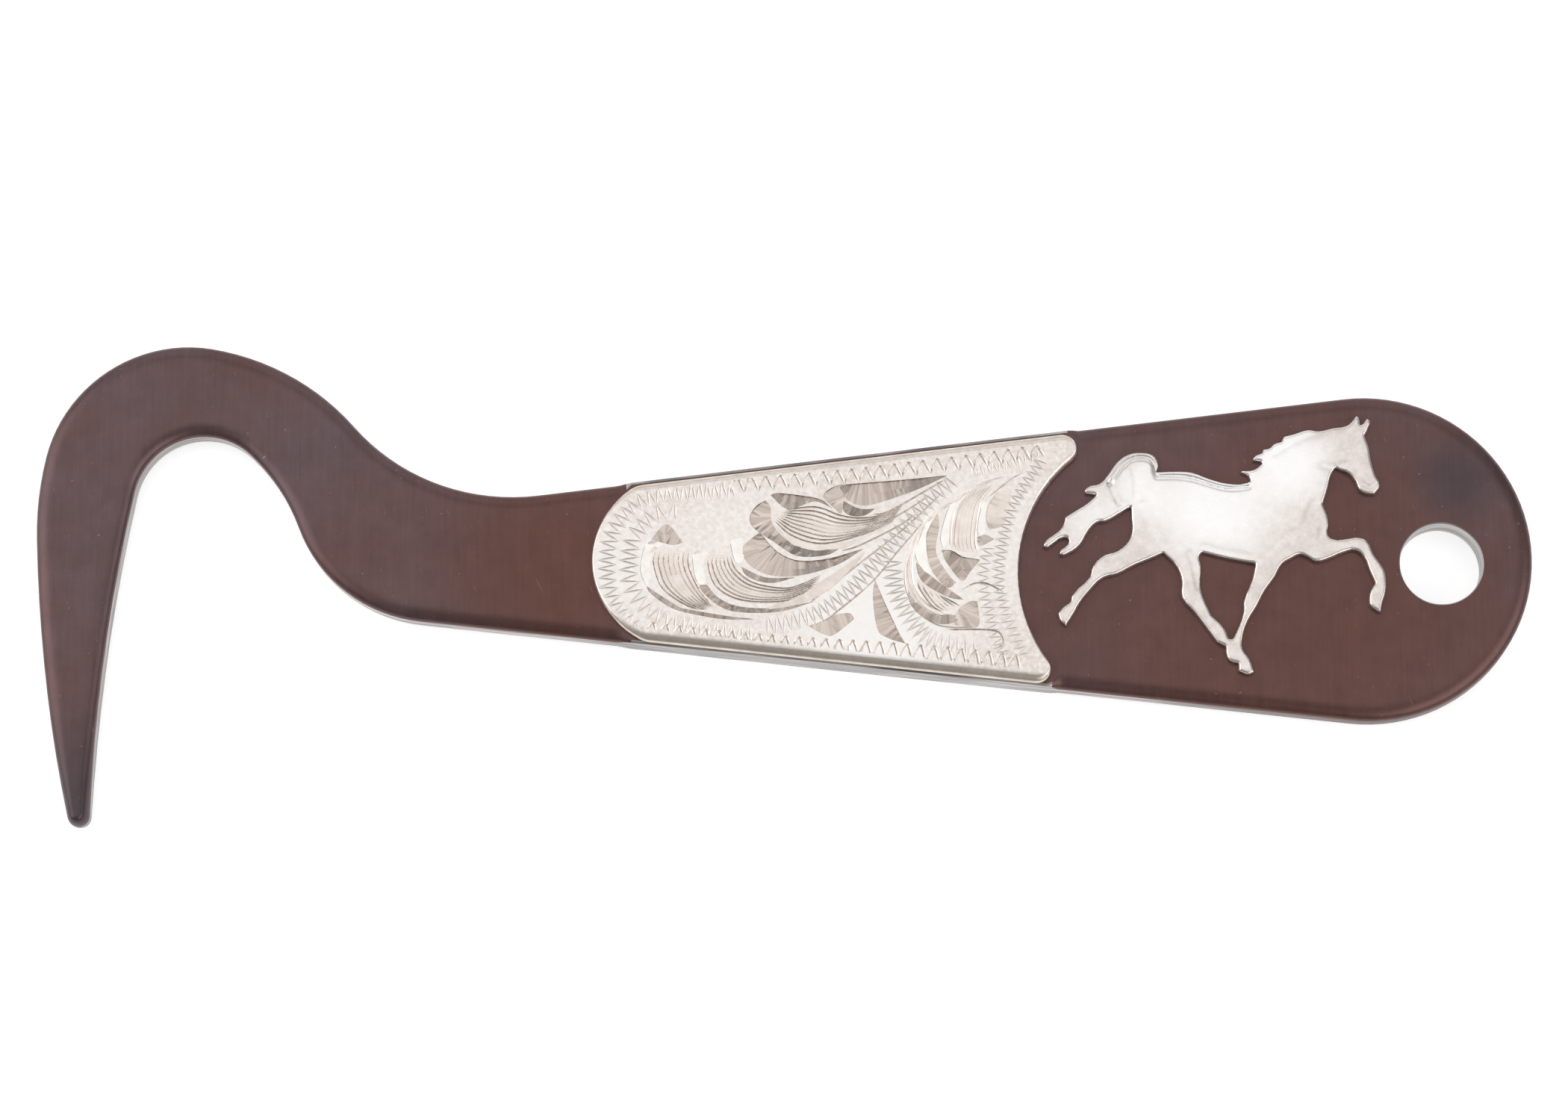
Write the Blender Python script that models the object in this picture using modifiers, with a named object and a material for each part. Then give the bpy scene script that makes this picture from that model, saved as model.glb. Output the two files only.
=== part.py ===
"""Hoof pick: a flat steel pick with an engraved plate and a trotting horse soldered to its face.

Metres, +Z up. The pick lies on its back with the overlays up, the hook towards -X and the hang
hole towards +X. The blank is drawn from the centre of the handle's round end and then centred.
A point of the drawing is a complex number, so a turn is a multiplication.
"""
import cmath
import math
from collections import namedtuple

import bmesh
import bpy
from mathutils import Matrix, Vector

# Steel blank
BAR_THICKNESS = 0.0040
BAR_EDGE_ROUND = 0.0005
HANDLE_END_RADIUS = 0.0176
HANDLE_HALF_TAPER = math.radians(6.53)
NECK_RADIUS = 0.0231
SHOULDER_RADIUS = 0.0270
ARCH_X = -0.1268
ARCH_Y = 0.0090
ARCH_RADIUS = 0.0154
CHEEK_RADIUS = 0.0350
TINE_BACK_RADIUS = 0.1780
TIP_RADIUS = 0.0012
TIP_BACK = 0.0104
TIP_DROP = 0.03585
TINE_INNER_RADIUS = 0.2030
CROOK_RADIUS = 0.00746
CROOK_RIGHT = 0.0020
CROOK_DROP = 0.0021
THROAT_RADIUS = 0.0220
HEEL_RADIUS = 0.0162
SHOULDER_SLOPE = math.radians(10.0)
CHEEK_LEAN = math.radians(12.0)
THROAT_SLOPE = math.radians(43.5)

# Hang hole
HOLE_RADIUS = 0.0044
HOLE_X = 0.0079
HOLE_Y = -0.0008
HOLE_CHAMFER = 0.0003
CUT_OVERRUN = 0.0020

# Solder under the overlays
SOLDER_THICKNESS = 0.00010
SEAT_CLEARANCE = 0.00002

# Trotting horse
HORSE_THICKNESS = 0.0009
HORSE_TO_TOP_EDGE = 0.00232
HORSE_TO_BOTTOM_EDGE = 0.00480
HORSE_TO_HOLE = 0.00153

# Engraved plate
PLATE_THICKNESS = 0.0010
PLATE_EDGE_ROUND = 0.0007
PLATE_UPPER_MARGIN = 0.00055
PLATE_LOWER_MARGIN = 0.00017
PLATE_LENGTH = 0.0456
PLATE_TO_HORSE = 0.00249
PLATE_NOSE_FULLNESS = 0.0008
PLATE_NOSE_CORNER = 0.0030
PLATE_BITE_MARGIN = 0.00175
PLATE_BITE_Y = -0.0017
PLATE_UPPER_CORNER = 0.00165
PLATE_LOWER_CORNER = 0.00155

# Finishes: linear colour, metallic value and roughness
BROWNED_STEEL = ((0.116, 0.074, 0.070), 0.6, 0.45)
ENGRAVED_SILVER = ((0.80, 0.75, 0.70), 0.9, 0.35)
POLISHED_SILVER = ((0.87, 0.84, 0.81), 0.9, 0.28)
SILVER_SOLDER = ((0.62, 0.58, 0.53), 0.9, 0.50)

# How finely curves are cut into straight runs
CHORD_ERROR = 0.00001
SAME_POINT = 0.000001
HOLE_SIDES = 64
HORSE_RESOLUTION = 3
ROUND_SEGMENTS = 3
FLAT_ANGLE = math.radians(0.05)
SHARP_ANGLE = math.radians(30.0)

# View of the photograph that the horse was read from: its middle and its distance in pixels of the
# 2100 x 1500 frame, and how far it leans to the pick's lower edge and turns to the hang hole
VIEW_MIDDLE_X = 1050
VIEW_MIDDLE_Y = 750
VIEW_DISTANCE = 6270
VIEW_LEAN = math.radians(12.0)
VIEW_TURN = math.radians(2.0)

# Outline of the horse where the photograph shows it, in pixels; True marks a sharp point
TAIL_TOP = [
    (1396, 731, True), (1400, 723, False), (1410, 715.5, False), (1419, 708.5, False),
    (1425, 697, False), (1425.5, 692, True), (1440, 683, False), (1456, 673, False),
    (1468, 662.5, True), (1453, 661, True), (1452, 656, False), (1459, 650, False),
    (1472, 647, False), (1482, 636.5, False), (1496, 618, False), (1511, 608, False),
    (1529, 605.5, False), (1545, 609.5, False), (1552, 621, False), (1549.5, 631.5, True),
]
BACK = [
    (1577, 630.5, False), (1597, 632, False), (1620, 640.5, False), (1645, 646.7, False),
    (1669, 646, False), (1674, 642.5, False),
]
MANE = [
    (1661, 632, True), (1663, 629.8, True), (1679, 628.3, False), (1690, 620.5, True),
    (1688, 618, True), (1678, 617, True), (1678, 612.5, False), (1690, 606, True),
    (1691, 601, True), (1700, 599.5, False), (1706, 594, False), (1716, 591, True),
    (1718.5, 584.2, True), (1733, 580.5, False), (1752, 575, False), (1766, 576.6, False),
    (1786, 572.3, False), (1804, 569, False),
]
EARS = [
    (1812, 562, False), (1817, 556.3, False), (1821, 560, False), (1822, 568.5, True),
    (1826, 566, False), (1831, 560.2, False), (1835.7, 564.5, False), (1833, 574, False),
    (1828.5, 583.5, True),
]
FACE = [
    (1834, 598, False), (1837, 615, False), (1843, 636, False), (1849, 650, False),
    (1841.5, 662, True), (1829, 661.5, False), (1820, 656, False), (1815, 645, False),
    (1804, 633, False), (1794, 629.2, False), (1789, 626.5, True),
]
CHEST = [
    (1784, 635, False), (1779, 654, False), (1772.5, 675, True), (1779, 690, False),
    (1780.3, 702, False), (1779.2, 714, False), (1784, 720.3, False),
]
RAISED_FORELEG = [
    (1806, 720, False), (1818, 718.5, False), (1831, 723, False), (1841, 742, False),
    (1854, 761, False), (1857, 772, False), (1856.6, 793, False), (1852.5, 807, False),
    (1850, 819.5, True), (1846, 819.5, True), (1835, 811, False), (1833.2, 803, False),
    (1835.5, 789.5, False), (1841.3, 780, True), (1834, 764, False), (1826, 745.5, False),
    (1815, 737.3, False), (1800, 740, False), (1780, 748.2, False), (1762, 752.2, False),
    (1750.5, 745.8, False), (1741, 743, False), (1730, 748, False), (1718, 755.5, False),
]
STANDING_LEGS = [
    (1708, 773, False), (1695, 791, False), (1684, 812, False), (1672, 832, False),
    (1665.2, 855, False), (1666, 869, False), (1675, 882, False), (1681, 900, True),
    (1672, 903.2, False), (1658.5, 898.5, True), (1658.5, 888.3, True), (1647, 885, False),
    (1641.8, 875, False), (1641.5, 866, True), (1630, 860.5, True), (1618, 844.5, False),
    (1600, 821, False), (1584, 802.5, False), (1581.6, 793, False), (1582.3, 779, False),
    (1577, 761.5, False), (1558, 740.8, True),
]
RAISED_HIND_LEG = [
    (1540, 749, False), (1520, 757, False), (1497, 768.8, False), (1478, 774, False),
    (1461, 790, False), (1446, 809, False), (1440, 820, False), (1428, 838.5, True),
    (1420, 832, False), (1416, 820.5, True), (1424, 811.5, False), (1432.8, 805, False),
    (1435, 796.5, False), (1459, 771.5, False), (1463, 757.5, False), (1479, 742.3, False),
    (1496, 737, False), (1511, 723, False), (1515.7, 708, False), (1514.7, 694, False),
    (1514.5, 679, True),
]
TAIL_UNDER = [
    (1495, 691, False), (1480, 698.4, False), (1470, 699.5, False), (1458, 711.5, False),
    (1447, 730, False), (1431, 741.3, False), (1421, 744, False), (1418, 739.5, False),
    (1429, 728.5, False), (1430, 721.5, False), (1424, 720.3, False), (1411, 728.5, False),
    (1401, 734, False),
]
LEG_GAP = [
    (1610, 740, True), (1645, 748.7, False), (1681, 755, True), (1677, 774, False),
    (1665, 805.5, False), (1665, 818, False), (1654, 848, False), (1650.5, 854.5, True),
    (1646.5, 854.5, True), (1641, 841, False), (1624, 824, True), (1612, 797, False),
    (1608.6, 782, False), (1609.5, 758, False), (1607, 745, False),
]
HORSE_OUTLINE = (
    TAIL_TOP + BACK + MANE + EARS + FACE + CHEST + RAISED_FORELEG + STANDING_LEGS
    + RAISED_HIND_LEG + TAIL_UNDER
)

# Arc of an outline: a positive radius turns left round its centre, a negative one turns right
Arc = namedtuple("Arc", "centre radius")


def left_of(heading):
    """Unit normal to the left of a direction of travel."""
    return cmath.rect(1.0, heading + math.pi / 2.0)


def towards_plus_x(step):
    """The given step or its opposite, whichever runs towards +X."""
    return step if step.real > 0.0 else -step


def dot(first, second):
    """Scalar product of two drawing vectors."""
    return (first.conjugate() * second).real


def carry_on(arc, heading, radius):
    """Arc of another radius that leaves an arc smoothly where the path runs along a heading."""
    return Arc(arc.centre + (radius - arc.radius) * left_of(heading), radius)


def between(first, last, radius):
    """Arc that runs smoothly out of one arc into another, centred on their +X side."""
    reach = abs(radius - first.radius)
    other = abs(radius - last.radius)
    apart = last.centre - first.centre
    along = (reach ** 2 - other ** 2 + abs(apart) ** 2) / (2.0 * abs(apart))
    across = math.sqrt(reach ** 2 - along ** 2)
    unit = apart / abs(apart)
    return Arc(first.centre + along * unit + across * towards_plus_x(1j * unit), radius)


def on_edge(edge_arc, heading, arc, radius, side):
    """Arc touching another arc and the straight edge that runs by edge_arc along a heading.

    side is 1 for the solution towards +X and -1 for the one towards -X.
    """
    normal = left_of(heading)
    reach = abs(radius - arc.radius)
    height = dot(normal, edge_arc.centre - arc.centre) - edge_arc.radius + radius
    along = math.sqrt(reach ** 2 - height ** 2)
    return Arc(arc.centre + height * normal + side * along * towards_plus_x(1j * normal), radius)


def joint_normal(first, last):
    """Angle of the left normal where the path leaves one arc for the next."""
    apart = last.centre - first.centre
    ratio = (last.radius - first.radius) / abs(apart)
    return cmath.phase(apart) + math.acos(max(-1.0, min(1.0, ratio)))


def trace(arcs, inset=0.0):
    """Closed list of points round a chain of arcs, moved to the left by an inset."""
    points = []
    for index, arc in enumerate(arcs):
        start = joint_normal(arcs[index - 1], arc)
        end = joint_normal(arc, arcs[(index + 1) % len(arcs)])
        turn = (end - start) % math.tau
        if arc.radius < 0.0:
            turn -= math.tau
        radius = arc.radius - inset
        step = 2.0 * math.acos(1.0 - CHORD_ERROR / abs(radius))
        count = max(1, math.ceil(abs(turn) / step))
        for number in range(count + 1):
            point = arc.centre - radius * cmath.rect(1.0, start + turn * number / count)
            if not points or abs(point - points[-1]) > SAME_POINT:
                points.append(point)
    return points


def bar_arcs():
    """Arcs of the blank, anticlockwise from the handle's round end."""
    end = Arc(0j, HANDLE_END_RADIUS)
    arch = Arc(complex(ARCH_X, ARCH_Y), ARCH_RADIUS)
    tip = Arc(arch.centre - complex(TIP_BACK, TIP_DROP), TIP_RADIUS)
    crook = Arc(arch.centre + complex(CROOK_RIGHT, -CROOK_DROP), -CROOK_RADIUS)
    shoulder = carry_on(arch, math.pi - SHOULDER_SLOPE, SHOULDER_RADIUS)
    cheek = carry_on(arch, 1.5 * math.pi - CHEEK_LEAN, CHEEK_RADIUS)
    throat = carry_on(crook, -THROAT_SLOPE, -THROAT_RADIUS)
    neck = on_edge(end, math.pi + HANDLE_HALF_TAPER, shoulder, -NECK_RADIUS, 1)
    heel = on_edge(end, -HANDLE_HALF_TAPER, throat, HEEL_RADIUS, 1)
    tine_back = between(cheek, tip, TINE_BACK_RADIUS)
    tine_inner = between(tip, crook, -TINE_INNER_RADIUS)
    return [
        end, neck, shoulder, arch, cheek, tine_back, tip, tine_inner, crook, throat, heel,
    ]


def seen_square(drawing):
    """Points read from the photograph as they lie on the pick, still in pixels."""
    view = Matrix.Rotation(VIEW_TURN, 3, "Y") @ Matrix.Rotation(VIEW_LEAN, 3, "X")
    eye = view @ Vector((0.0, 0.0, VIEW_DISTANCE))
    flat = []
    for x, y, sharp in drawing:
        ray = view @ Vector((x - VIEW_MIDDLE_X, VIEW_MIDDLE_Y - y, -VIEW_DISTANCE))
        spot = eye - ray * (eye.z / ray.z)
        flat.append((spot.x, spot.y, sharp))
    return flat


def horse_placing(outline):
    """Metres to a pixel of the horse, its place beside the hang hole, and the end of its tail."""
    top = max(y for x, y, sharp in outline)
    bottom = min(y for x, y, sharp in outline)
    right = max(x for x, y, sharp in outline)
    left = min(x for x, y, sharp in outline)
    room = 2.0 * HANDLE_END_RADIUS - HORSE_TO_TOP_EDGE - HORSE_TO_BOTTOM_EDGE
    scale = room / (top - bottom)
    place = complex(
        HOLE_X - HOLE_RADIUS - HORSE_TO_HOLE - scale * right,
        HANDLE_END_RADIUS - HORSE_TO_TOP_EDGE - scale * top,
    )
    return scale, place, place.real + scale * left


def plate_arcs(tail_end):
    """Arcs of the engraved plate, which covers the handle's flat from its nose to its bite."""
    upper_edge = Arc(0j, HANDLE_END_RADIUS - PLATE_UPPER_MARGIN)
    lower_edge = Arc(0j, HANDLE_END_RADIUS - PLATE_LOWER_MARGIN)
    bite_end = tail_end - PLATE_TO_HORSE
    bite_radius = HANDLE_END_RADIUS - PLATE_BITE_MARGIN
    bite = Arc(complex(bite_end + bite_radius, PLATE_BITE_Y), -bite_radius)
    nose_end = bite_end - PLATE_LENGTH
    lean = math.sin(HANDLE_HALF_TAPER)
    nose_radius = (upper_edge.radius + nose_end * lean + PLATE_NOSE_FULLNESS) / (1.0 - lean)
    nose = Arc(complex(nose_end + nose_radius, 0.0), nose_radius)
    upper = math.pi + HANDLE_HALF_TAPER
    lower = -HANDLE_HALF_TAPER
    return [
        on_edge(lower_edge, lower, bite, PLATE_LOWER_CORNER, -1),
        bite,
        on_edge(upper_edge, upper, bite, PLATE_UPPER_CORNER, -1),
        on_edge(upper_edge, upper, nose, PLATE_NOSE_CORNER, -1),
        nose,
        on_edge(lower_edge, lower, nose, PLATE_NOSE_CORNER, -1),
    ]


def new_collection(name):
    """Empty collection linked to the scene."""
    collection = bpy.data.collections.new(name)
    bpy.context.scene.collection.children.link(collection)
    return collection


def finish_material(name, finish):
    """Plain material of one finish."""
    colour, metallic, roughness = finish
    material = bpy.data.materials.new(name)
    material.use_nodes = True
    shader = material.node_tree.nodes["Principled BSDF"]
    shader.inputs["Base Color"].default_value = (*colour, 1.0)
    shader.inputs["Metallic"].default_value = metallic
    shader.inputs["Roughness"].default_value = roughness
    return material


def flat_curve(name, thickness):
    """Filled flat curve, extruded to a thickness."""
    curve = bpy.data.curves.new(name, "CURVE")
    curve.dimensions = "2D"
    curve.fill_mode = "BOTH"
    curve.extrude = thickness / 2.0
    return curve


def add_outline(curve, points):
    """Closed outline of straight runs."""
    spline = curve.splines.new("POLY")
    spline.points.add(len(points) - 1)
    for vertex, point in zip(spline.points, points):
        vertex.co = (point.real, point.imag, 0.0, 1.0)
    spline.use_cyclic_u = True


def add_drawn_outline(curve, drawing, scale):
    """Closed smooth outline through drawn points, kinked at the sharp ones."""
    spline = curve.splines.new("BEZIER")
    spline.bezier_points.add(len(drawing) - 1)
    for point, (x, y, sharp) in zip(spline.bezier_points, drawing):
        point.co = (scale * x, scale * y, 0.0)
        point.handle_left_type = "VECTOR" if sharp else "AUTO"
        point.handle_right_type = "VECTOR" if sharp else "AUTO"
    spline.use_cyclic_u = True
    spline.resolution_u = HORSE_RESOLUTION


def solid_from_curve(curve, collection, material, parent):
    """Closed mesh object made from a flat curve, with its caps joined to its walls."""
    name = curve.name
    sketch = bpy.data.objects.new(name + "_sketch", curve)
    collection.objects.link(sketch)
    bpy.context.view_layer.update()
    depsgraph = bpy.context.evaluated_depsgraph_get()
    mesh = bpy.data.meshes.new_from_object(sketch.evaluated_get(depsgraph))
    bpy.data.objects.remove(sketch)
    mesh.name = name
    shape = bmesh.new()
    shape.from_mesh(mesh)
    bmesh.ops.remove_doubles(shape, verts=shape.verts, dist=SAME_POINT)
    bmesh.ops.dissolve_limit(
        shape, angle_limit=FLAT_ANGLE, verts=shape.verts, edges=shape.edges
    )
    bmesh.ops.recalc_face_normals(shape, faces=shape.faces)
    shape.to_mesh(mesh)
    shape.free()
    mesh.shade_smooth()
    mesh.set_sharp_from_angle(angle=SHARP_ANGLE)
    mesh.materials.clear()
    mesh.materials.append(material)
    solid = bpy.data.objects.new(name, mesh)
    collection.objects.link(solid)
    solid.parent = parent
    return solid


def round_rims(solid, width, upper_only):
    """Round the rims of a flat solid, both of them or the upper one only."""
    mesh = solid.data
    weights = mesh.attributes.new("bevel_weight_edge", "FLOAT", "EDGE")
    for edge in mesh.edges:
        first, last = (mesh.vertices[index].co.z for index in edge.vertices)
        level = abs(first - last) < SAME_POINT
        weights.data[edge.index].value = 1.0 if level and (first > 0.0 or not upper_only) else 0.0
    bevel = solid.modifiers.new("rounded_rims", "BEVEL")
    bevel.limit_method = "WEIGHT"
    bevel.width = width
    bevel.segments = ROUND_SEGMENTS


def turned_cutter(name, profile, collection, parent):
    """Cutter turned round Z from a profile of radius and height."""
    mesh = bpy.data.meshes.new(name)
    vertices = [(radius, 0.0, height) for radius, height in profile]
    edges = [(index, index + 1) for index in range(len(profile) - 1)]
    mesh.from_pydata(vertices, edges, [])
    cutter = bpy.data.objects.new(name, mesh)
    collection.objects.link(cutter)
    cutter.parent = parent
    cutter.hide_render = True
    cutter.display_type = "WIRE"
    screw = cutter.modifiers.new("turned", "SCREW")
    screw.steps = HOLE_SIDES
    screw.render_steps = HOLE_SIDES
    screw.use_merge_vertices = True
    screw.merge_threshold = SAME_POINT
    return cutter


def hole_profile():
    """Profile of the hang hole's cutter, top to bottom, flared at both faces of the bar."""
    half = BAR_THICKNESS / 2.0
    flare = HOLE_RADIUS + HOLE_CHAMFER + CUT_OVERRUN
    return [
        (0.0, half + CUT_OVERRUN),
        (flare, half + CUT_OVERRUN),
        (HOLE_RADIUS, half - HOLE_CHAMFER),
        (HOLE_RADIUS, HOLE_CHAMFER - half),
        (flare, -half - CUT_OVERRUN),
        (0.0, -half - CUT_OVERRUN),
    ]


def middle_of(points):
    """Middle of the box round a list of points."""
    across = [point.real for point in points]
    upward = [point.imag for point in points]
    return complex(min(across) + max(across), min(upward) + max(upward)) / 2.0


def make_bar(points, parts, cutters, datum):
    """Steel blank with rounded rims and a drilled hang hole."""
    steel = finish_material("browned_steel", BROWNED_STEEL)
    curve = flat_curve("pick_bar", BAR_THICKNESS)
    add_outline(curve, points)
    bar = solid_from_curve(curve, parts, steel, datum)
    bar.location.z = BAR_THICKNESS / 2.0
    round_rims(bar, BAR_EDGE_ROUND, False)
    cutter = turned_cutter("hang_hole_cutter", hole_profile(), cutters, datum)
    cutter.location = (HOLE_X, HOLE_Y, BAR_THICKNESS / 2.0)
    drill = bar.modifiers.new("hang_hole", "BOOLEAN")
    drill.operation = "DIFFERENCE"
    drill.solver = "EXACT"
    drill.object = cutter


def make_plate(arcs, parts, datum, solder):
    """Engraved plate on its film of solder."""
    silver = finish_material("engraved_nickel_silver", ENGRAVED_SILVER)
    film_base = BAR_THICKNESS + SEAT_CLEARANCE
    plate_base = film_base + SOLDER_THICKNESS + SEAT_CLEARANCE
    curve = flat_curve("plate_solder", SOLDER_THICKNESS)
    add_outline(curve, trace(arcs, BAR_EDGE_ROUND))
    film = solid_from_curve(curve, parts, solder, datum)
    film.location.z = film_base + SOLDER_THICKNESS / 2.0
    curve = flat_curve("engraved_plate", PLATE_THICKNESS)
    add_outline(curve, trace(arcs))
    plate = solid_from_curve(curve, parts, silver, datum)
    plate.location.z = plate_base + PLATE_THICKNESS / 2.0
    round_rims(plate, PLATE_EDGE_ROUND, True)


def make_horse(outlines, scale, place, parts, datum, solder):
    """Trotting horse on its film of solder."""
    silver = finish_material("polished_nickel_silver", POLISHED_SILVER)
    film_base = BAR_THICKNESS + SEAT_CLEARANCE
    horse_base = film_base + SOLDER_THICKNESS + SEAT_CLEARANCE
    layers = [
        ("horse_solder", SOLDER_THICKNESS, film_base, solder),
        ("trotting_horse", HORSE_THICKNESS, horse_base, silver),
    ]
    for name, thickness, base, material in layers:
        curve = flat_curve(name, thickness)
        for outline in outlines:
            add_drawn_outline(curve, outline, scale)
        layer = solid_from_curve(curve, parts, material, datum)
        layer.location = (place.real, place.imag, base + thickness / 2.0)


def main():
    """Build the hoof pick."""
    for item in list(bpy.data.objects):
        bpy.data.objects.remove(item)
    parts = new_collection("hoof_pick")
    cutters = new_collection("cutters")
    points = trace(bar_arcs())
    middle = middle_of(points)
    datum = bpy.data.objects.new("handle_end_datum", None)
    parts.objects.link(datum)
    datum.location = (-middle.real, -middle.imag, 0.0)
    solder = finish_material("silver_solder", SILVER_SOLDER)
    outlines = [seen_square(HORSE_OUTLINE), seen_square(LEG_GAP)]
    scale, place, tail_end = horse_placing(outlines[0])
    make_bar(points, parts, cutters, datum)
    make_plate(plate_arcs(tail_end), parts, datum, solder)
    make_horse(outlines, scale, place, parts, datum, solder)


main()
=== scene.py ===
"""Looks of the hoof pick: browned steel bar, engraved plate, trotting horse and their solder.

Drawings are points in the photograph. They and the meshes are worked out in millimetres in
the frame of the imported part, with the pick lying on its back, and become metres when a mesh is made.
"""
import math
from collections import namedtuple

import bmesh
import bpy
import numpy as np
from mathutils import Matrix, Vector
from mathutils.geometry import delaunay_2d_cdt


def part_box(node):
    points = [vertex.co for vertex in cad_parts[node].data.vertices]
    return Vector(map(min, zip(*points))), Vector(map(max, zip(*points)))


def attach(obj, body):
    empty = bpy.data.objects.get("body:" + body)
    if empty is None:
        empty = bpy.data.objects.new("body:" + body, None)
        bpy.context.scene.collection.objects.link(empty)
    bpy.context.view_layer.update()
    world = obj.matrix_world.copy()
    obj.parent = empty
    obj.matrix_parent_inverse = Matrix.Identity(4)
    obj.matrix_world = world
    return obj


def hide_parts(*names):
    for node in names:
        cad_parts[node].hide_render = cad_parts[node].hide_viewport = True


bl_info = {
    "name": "Hoof Pick",
    "version": (1, 0, 0),
    "blender": (4, 5, 0),
    "location": "3D View > Sidebar > Hoof Pick",
    "description": "Dresses a steel hoof pick with an engraved plate and a trotting horse",
    "category": "Add Mesh",
}

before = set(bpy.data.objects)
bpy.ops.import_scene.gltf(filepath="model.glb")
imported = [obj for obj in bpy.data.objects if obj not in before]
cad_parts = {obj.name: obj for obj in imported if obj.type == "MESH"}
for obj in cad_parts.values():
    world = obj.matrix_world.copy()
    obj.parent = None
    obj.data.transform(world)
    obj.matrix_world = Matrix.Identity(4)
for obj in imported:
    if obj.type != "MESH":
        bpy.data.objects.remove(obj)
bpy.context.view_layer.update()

# A millimetre, and how near two levels or two points of a mesh count as one, in metres
MM = 0.001
SAME_LEVEL = 0.000002
SAME_POINT = 0.0000001

# In millimetres, how near two corners of a face count as one, how near two depths do, and the slack
# of a triangle's sides. A length or an area under TINY counts as nothing
MERGE_MM = 0.002
SAME_DEPTH = 1e-7
SLACK = 1e-5
TINY = 1e-9

# Kind of triangulation that keeps what lies inside the outlines, and how many triangles of a cut are
# looked through at once
WITHIN_EDGES = 1
BATCH = 24

TOOL_STROKE = "tool_stroke"

# Sockets of a node that mixes two colours
SHARE, FIRST, LAST = 0, 6, 7
MIXED = 2

# Frame of the photograph in pixels, the lens that it was taken with, and the view in degrees and
# metres: its lean towards the tip, its turn towards the hang hole, its distance and its aim
FRAME_WIDTH = 2100
FRAME_HEIGHT = 1500
FOCAL_PIXELS = 6270
SENSOR_MM = 36.0
VIEW_TILT = 12.0
VIEW_TURN = 2.0
VIEW_DISTANCE = 0.5
VIEW_AIM = (0.000513, 0.001927, 0.004)

# Level of the overlays' faces, which the drawings lie on, in metres
OVERLAY_LEVEL = 0.0051

# How finely outlines and curves are cut into straight runs, in millimetres, and the steps between two
# knots, over a rounding and over an arch, with the points of a zigzag's stroke
BAR_STEP = 0.6
PLATE_STEP = 0.35
HORSE_STEP = 0.16
CURVE_STEP = 0.35
KNOT_STEPS = 12
ROUND_STEPS = 9
ARCH_STEPS = 8
STROKE_POINTS = 4

# Finishes of the bar, of the plate and of the horse, in the order of their material slots
FACE, WALL, BORE = range(3)
GROUND, CUT, DARK, SHINE, LEAF, WRIGGLE, EDGE = range(7)
SKIN = 0

# A facet is a bright cut that falls from its lip to its root, a fan is a set of fine lines, a band
# is a row of wriggle cuts along a path, and a crease is a fold of the horse. Their points are pixels,
# their sizes millimetres and their tilt degrees
Facet = namedtuple("Facet", "lip root tilt finish")
Fan = namedtuple("Fan", "first last count finish")
Band = namedtuple("Band", "path pitch height rounded width depth")
Crease = namedtuple("Crease", "path width rise")

# A stain is strongest at its pixel and fades to nothing at its reach, and a lamp shines from its
# place to its aim
Stain = namedtuple("Stain", "pixel reach most")
Lamp = namedtuple("Lamp", "place aim size")

# Surface of one cut: rows of points side by side and how far each lies below the plate's face
Cut = namedtuple("Cut", "rows heights finish")

# Cuts, in millimetres: the deepest, the width of the step at the foot of each, the run-outs of lines
# and strokes, the dish of a leaf, and how far apart the streaks of two cuts are taken
DEEPEST_CUT = 0.26
STEP_WIDTH = 0.05
LINE_RUN_OUT = 0.9
STROKE_RUN_OUT = 0.15
LEAF_DISH = 0.03
STROKE_APART = 7.3

# How unevenly the graver went in, as a share of the depth, and the seed of that
CHATTER = 0.22
CHATTER_SEED = 11

# Rim of the plate: how clear of it the cuts stay and where they fade, in millimetres, how square to
# its length the sides with painted shade face, and the steps of the rounding that keep the ground's
# tone
RIM_CLEAR = 0.03
RIM_FADE = 0.15
SHADED_SIDE = 0.6
BRIGHT_STEPS = 2

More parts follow.
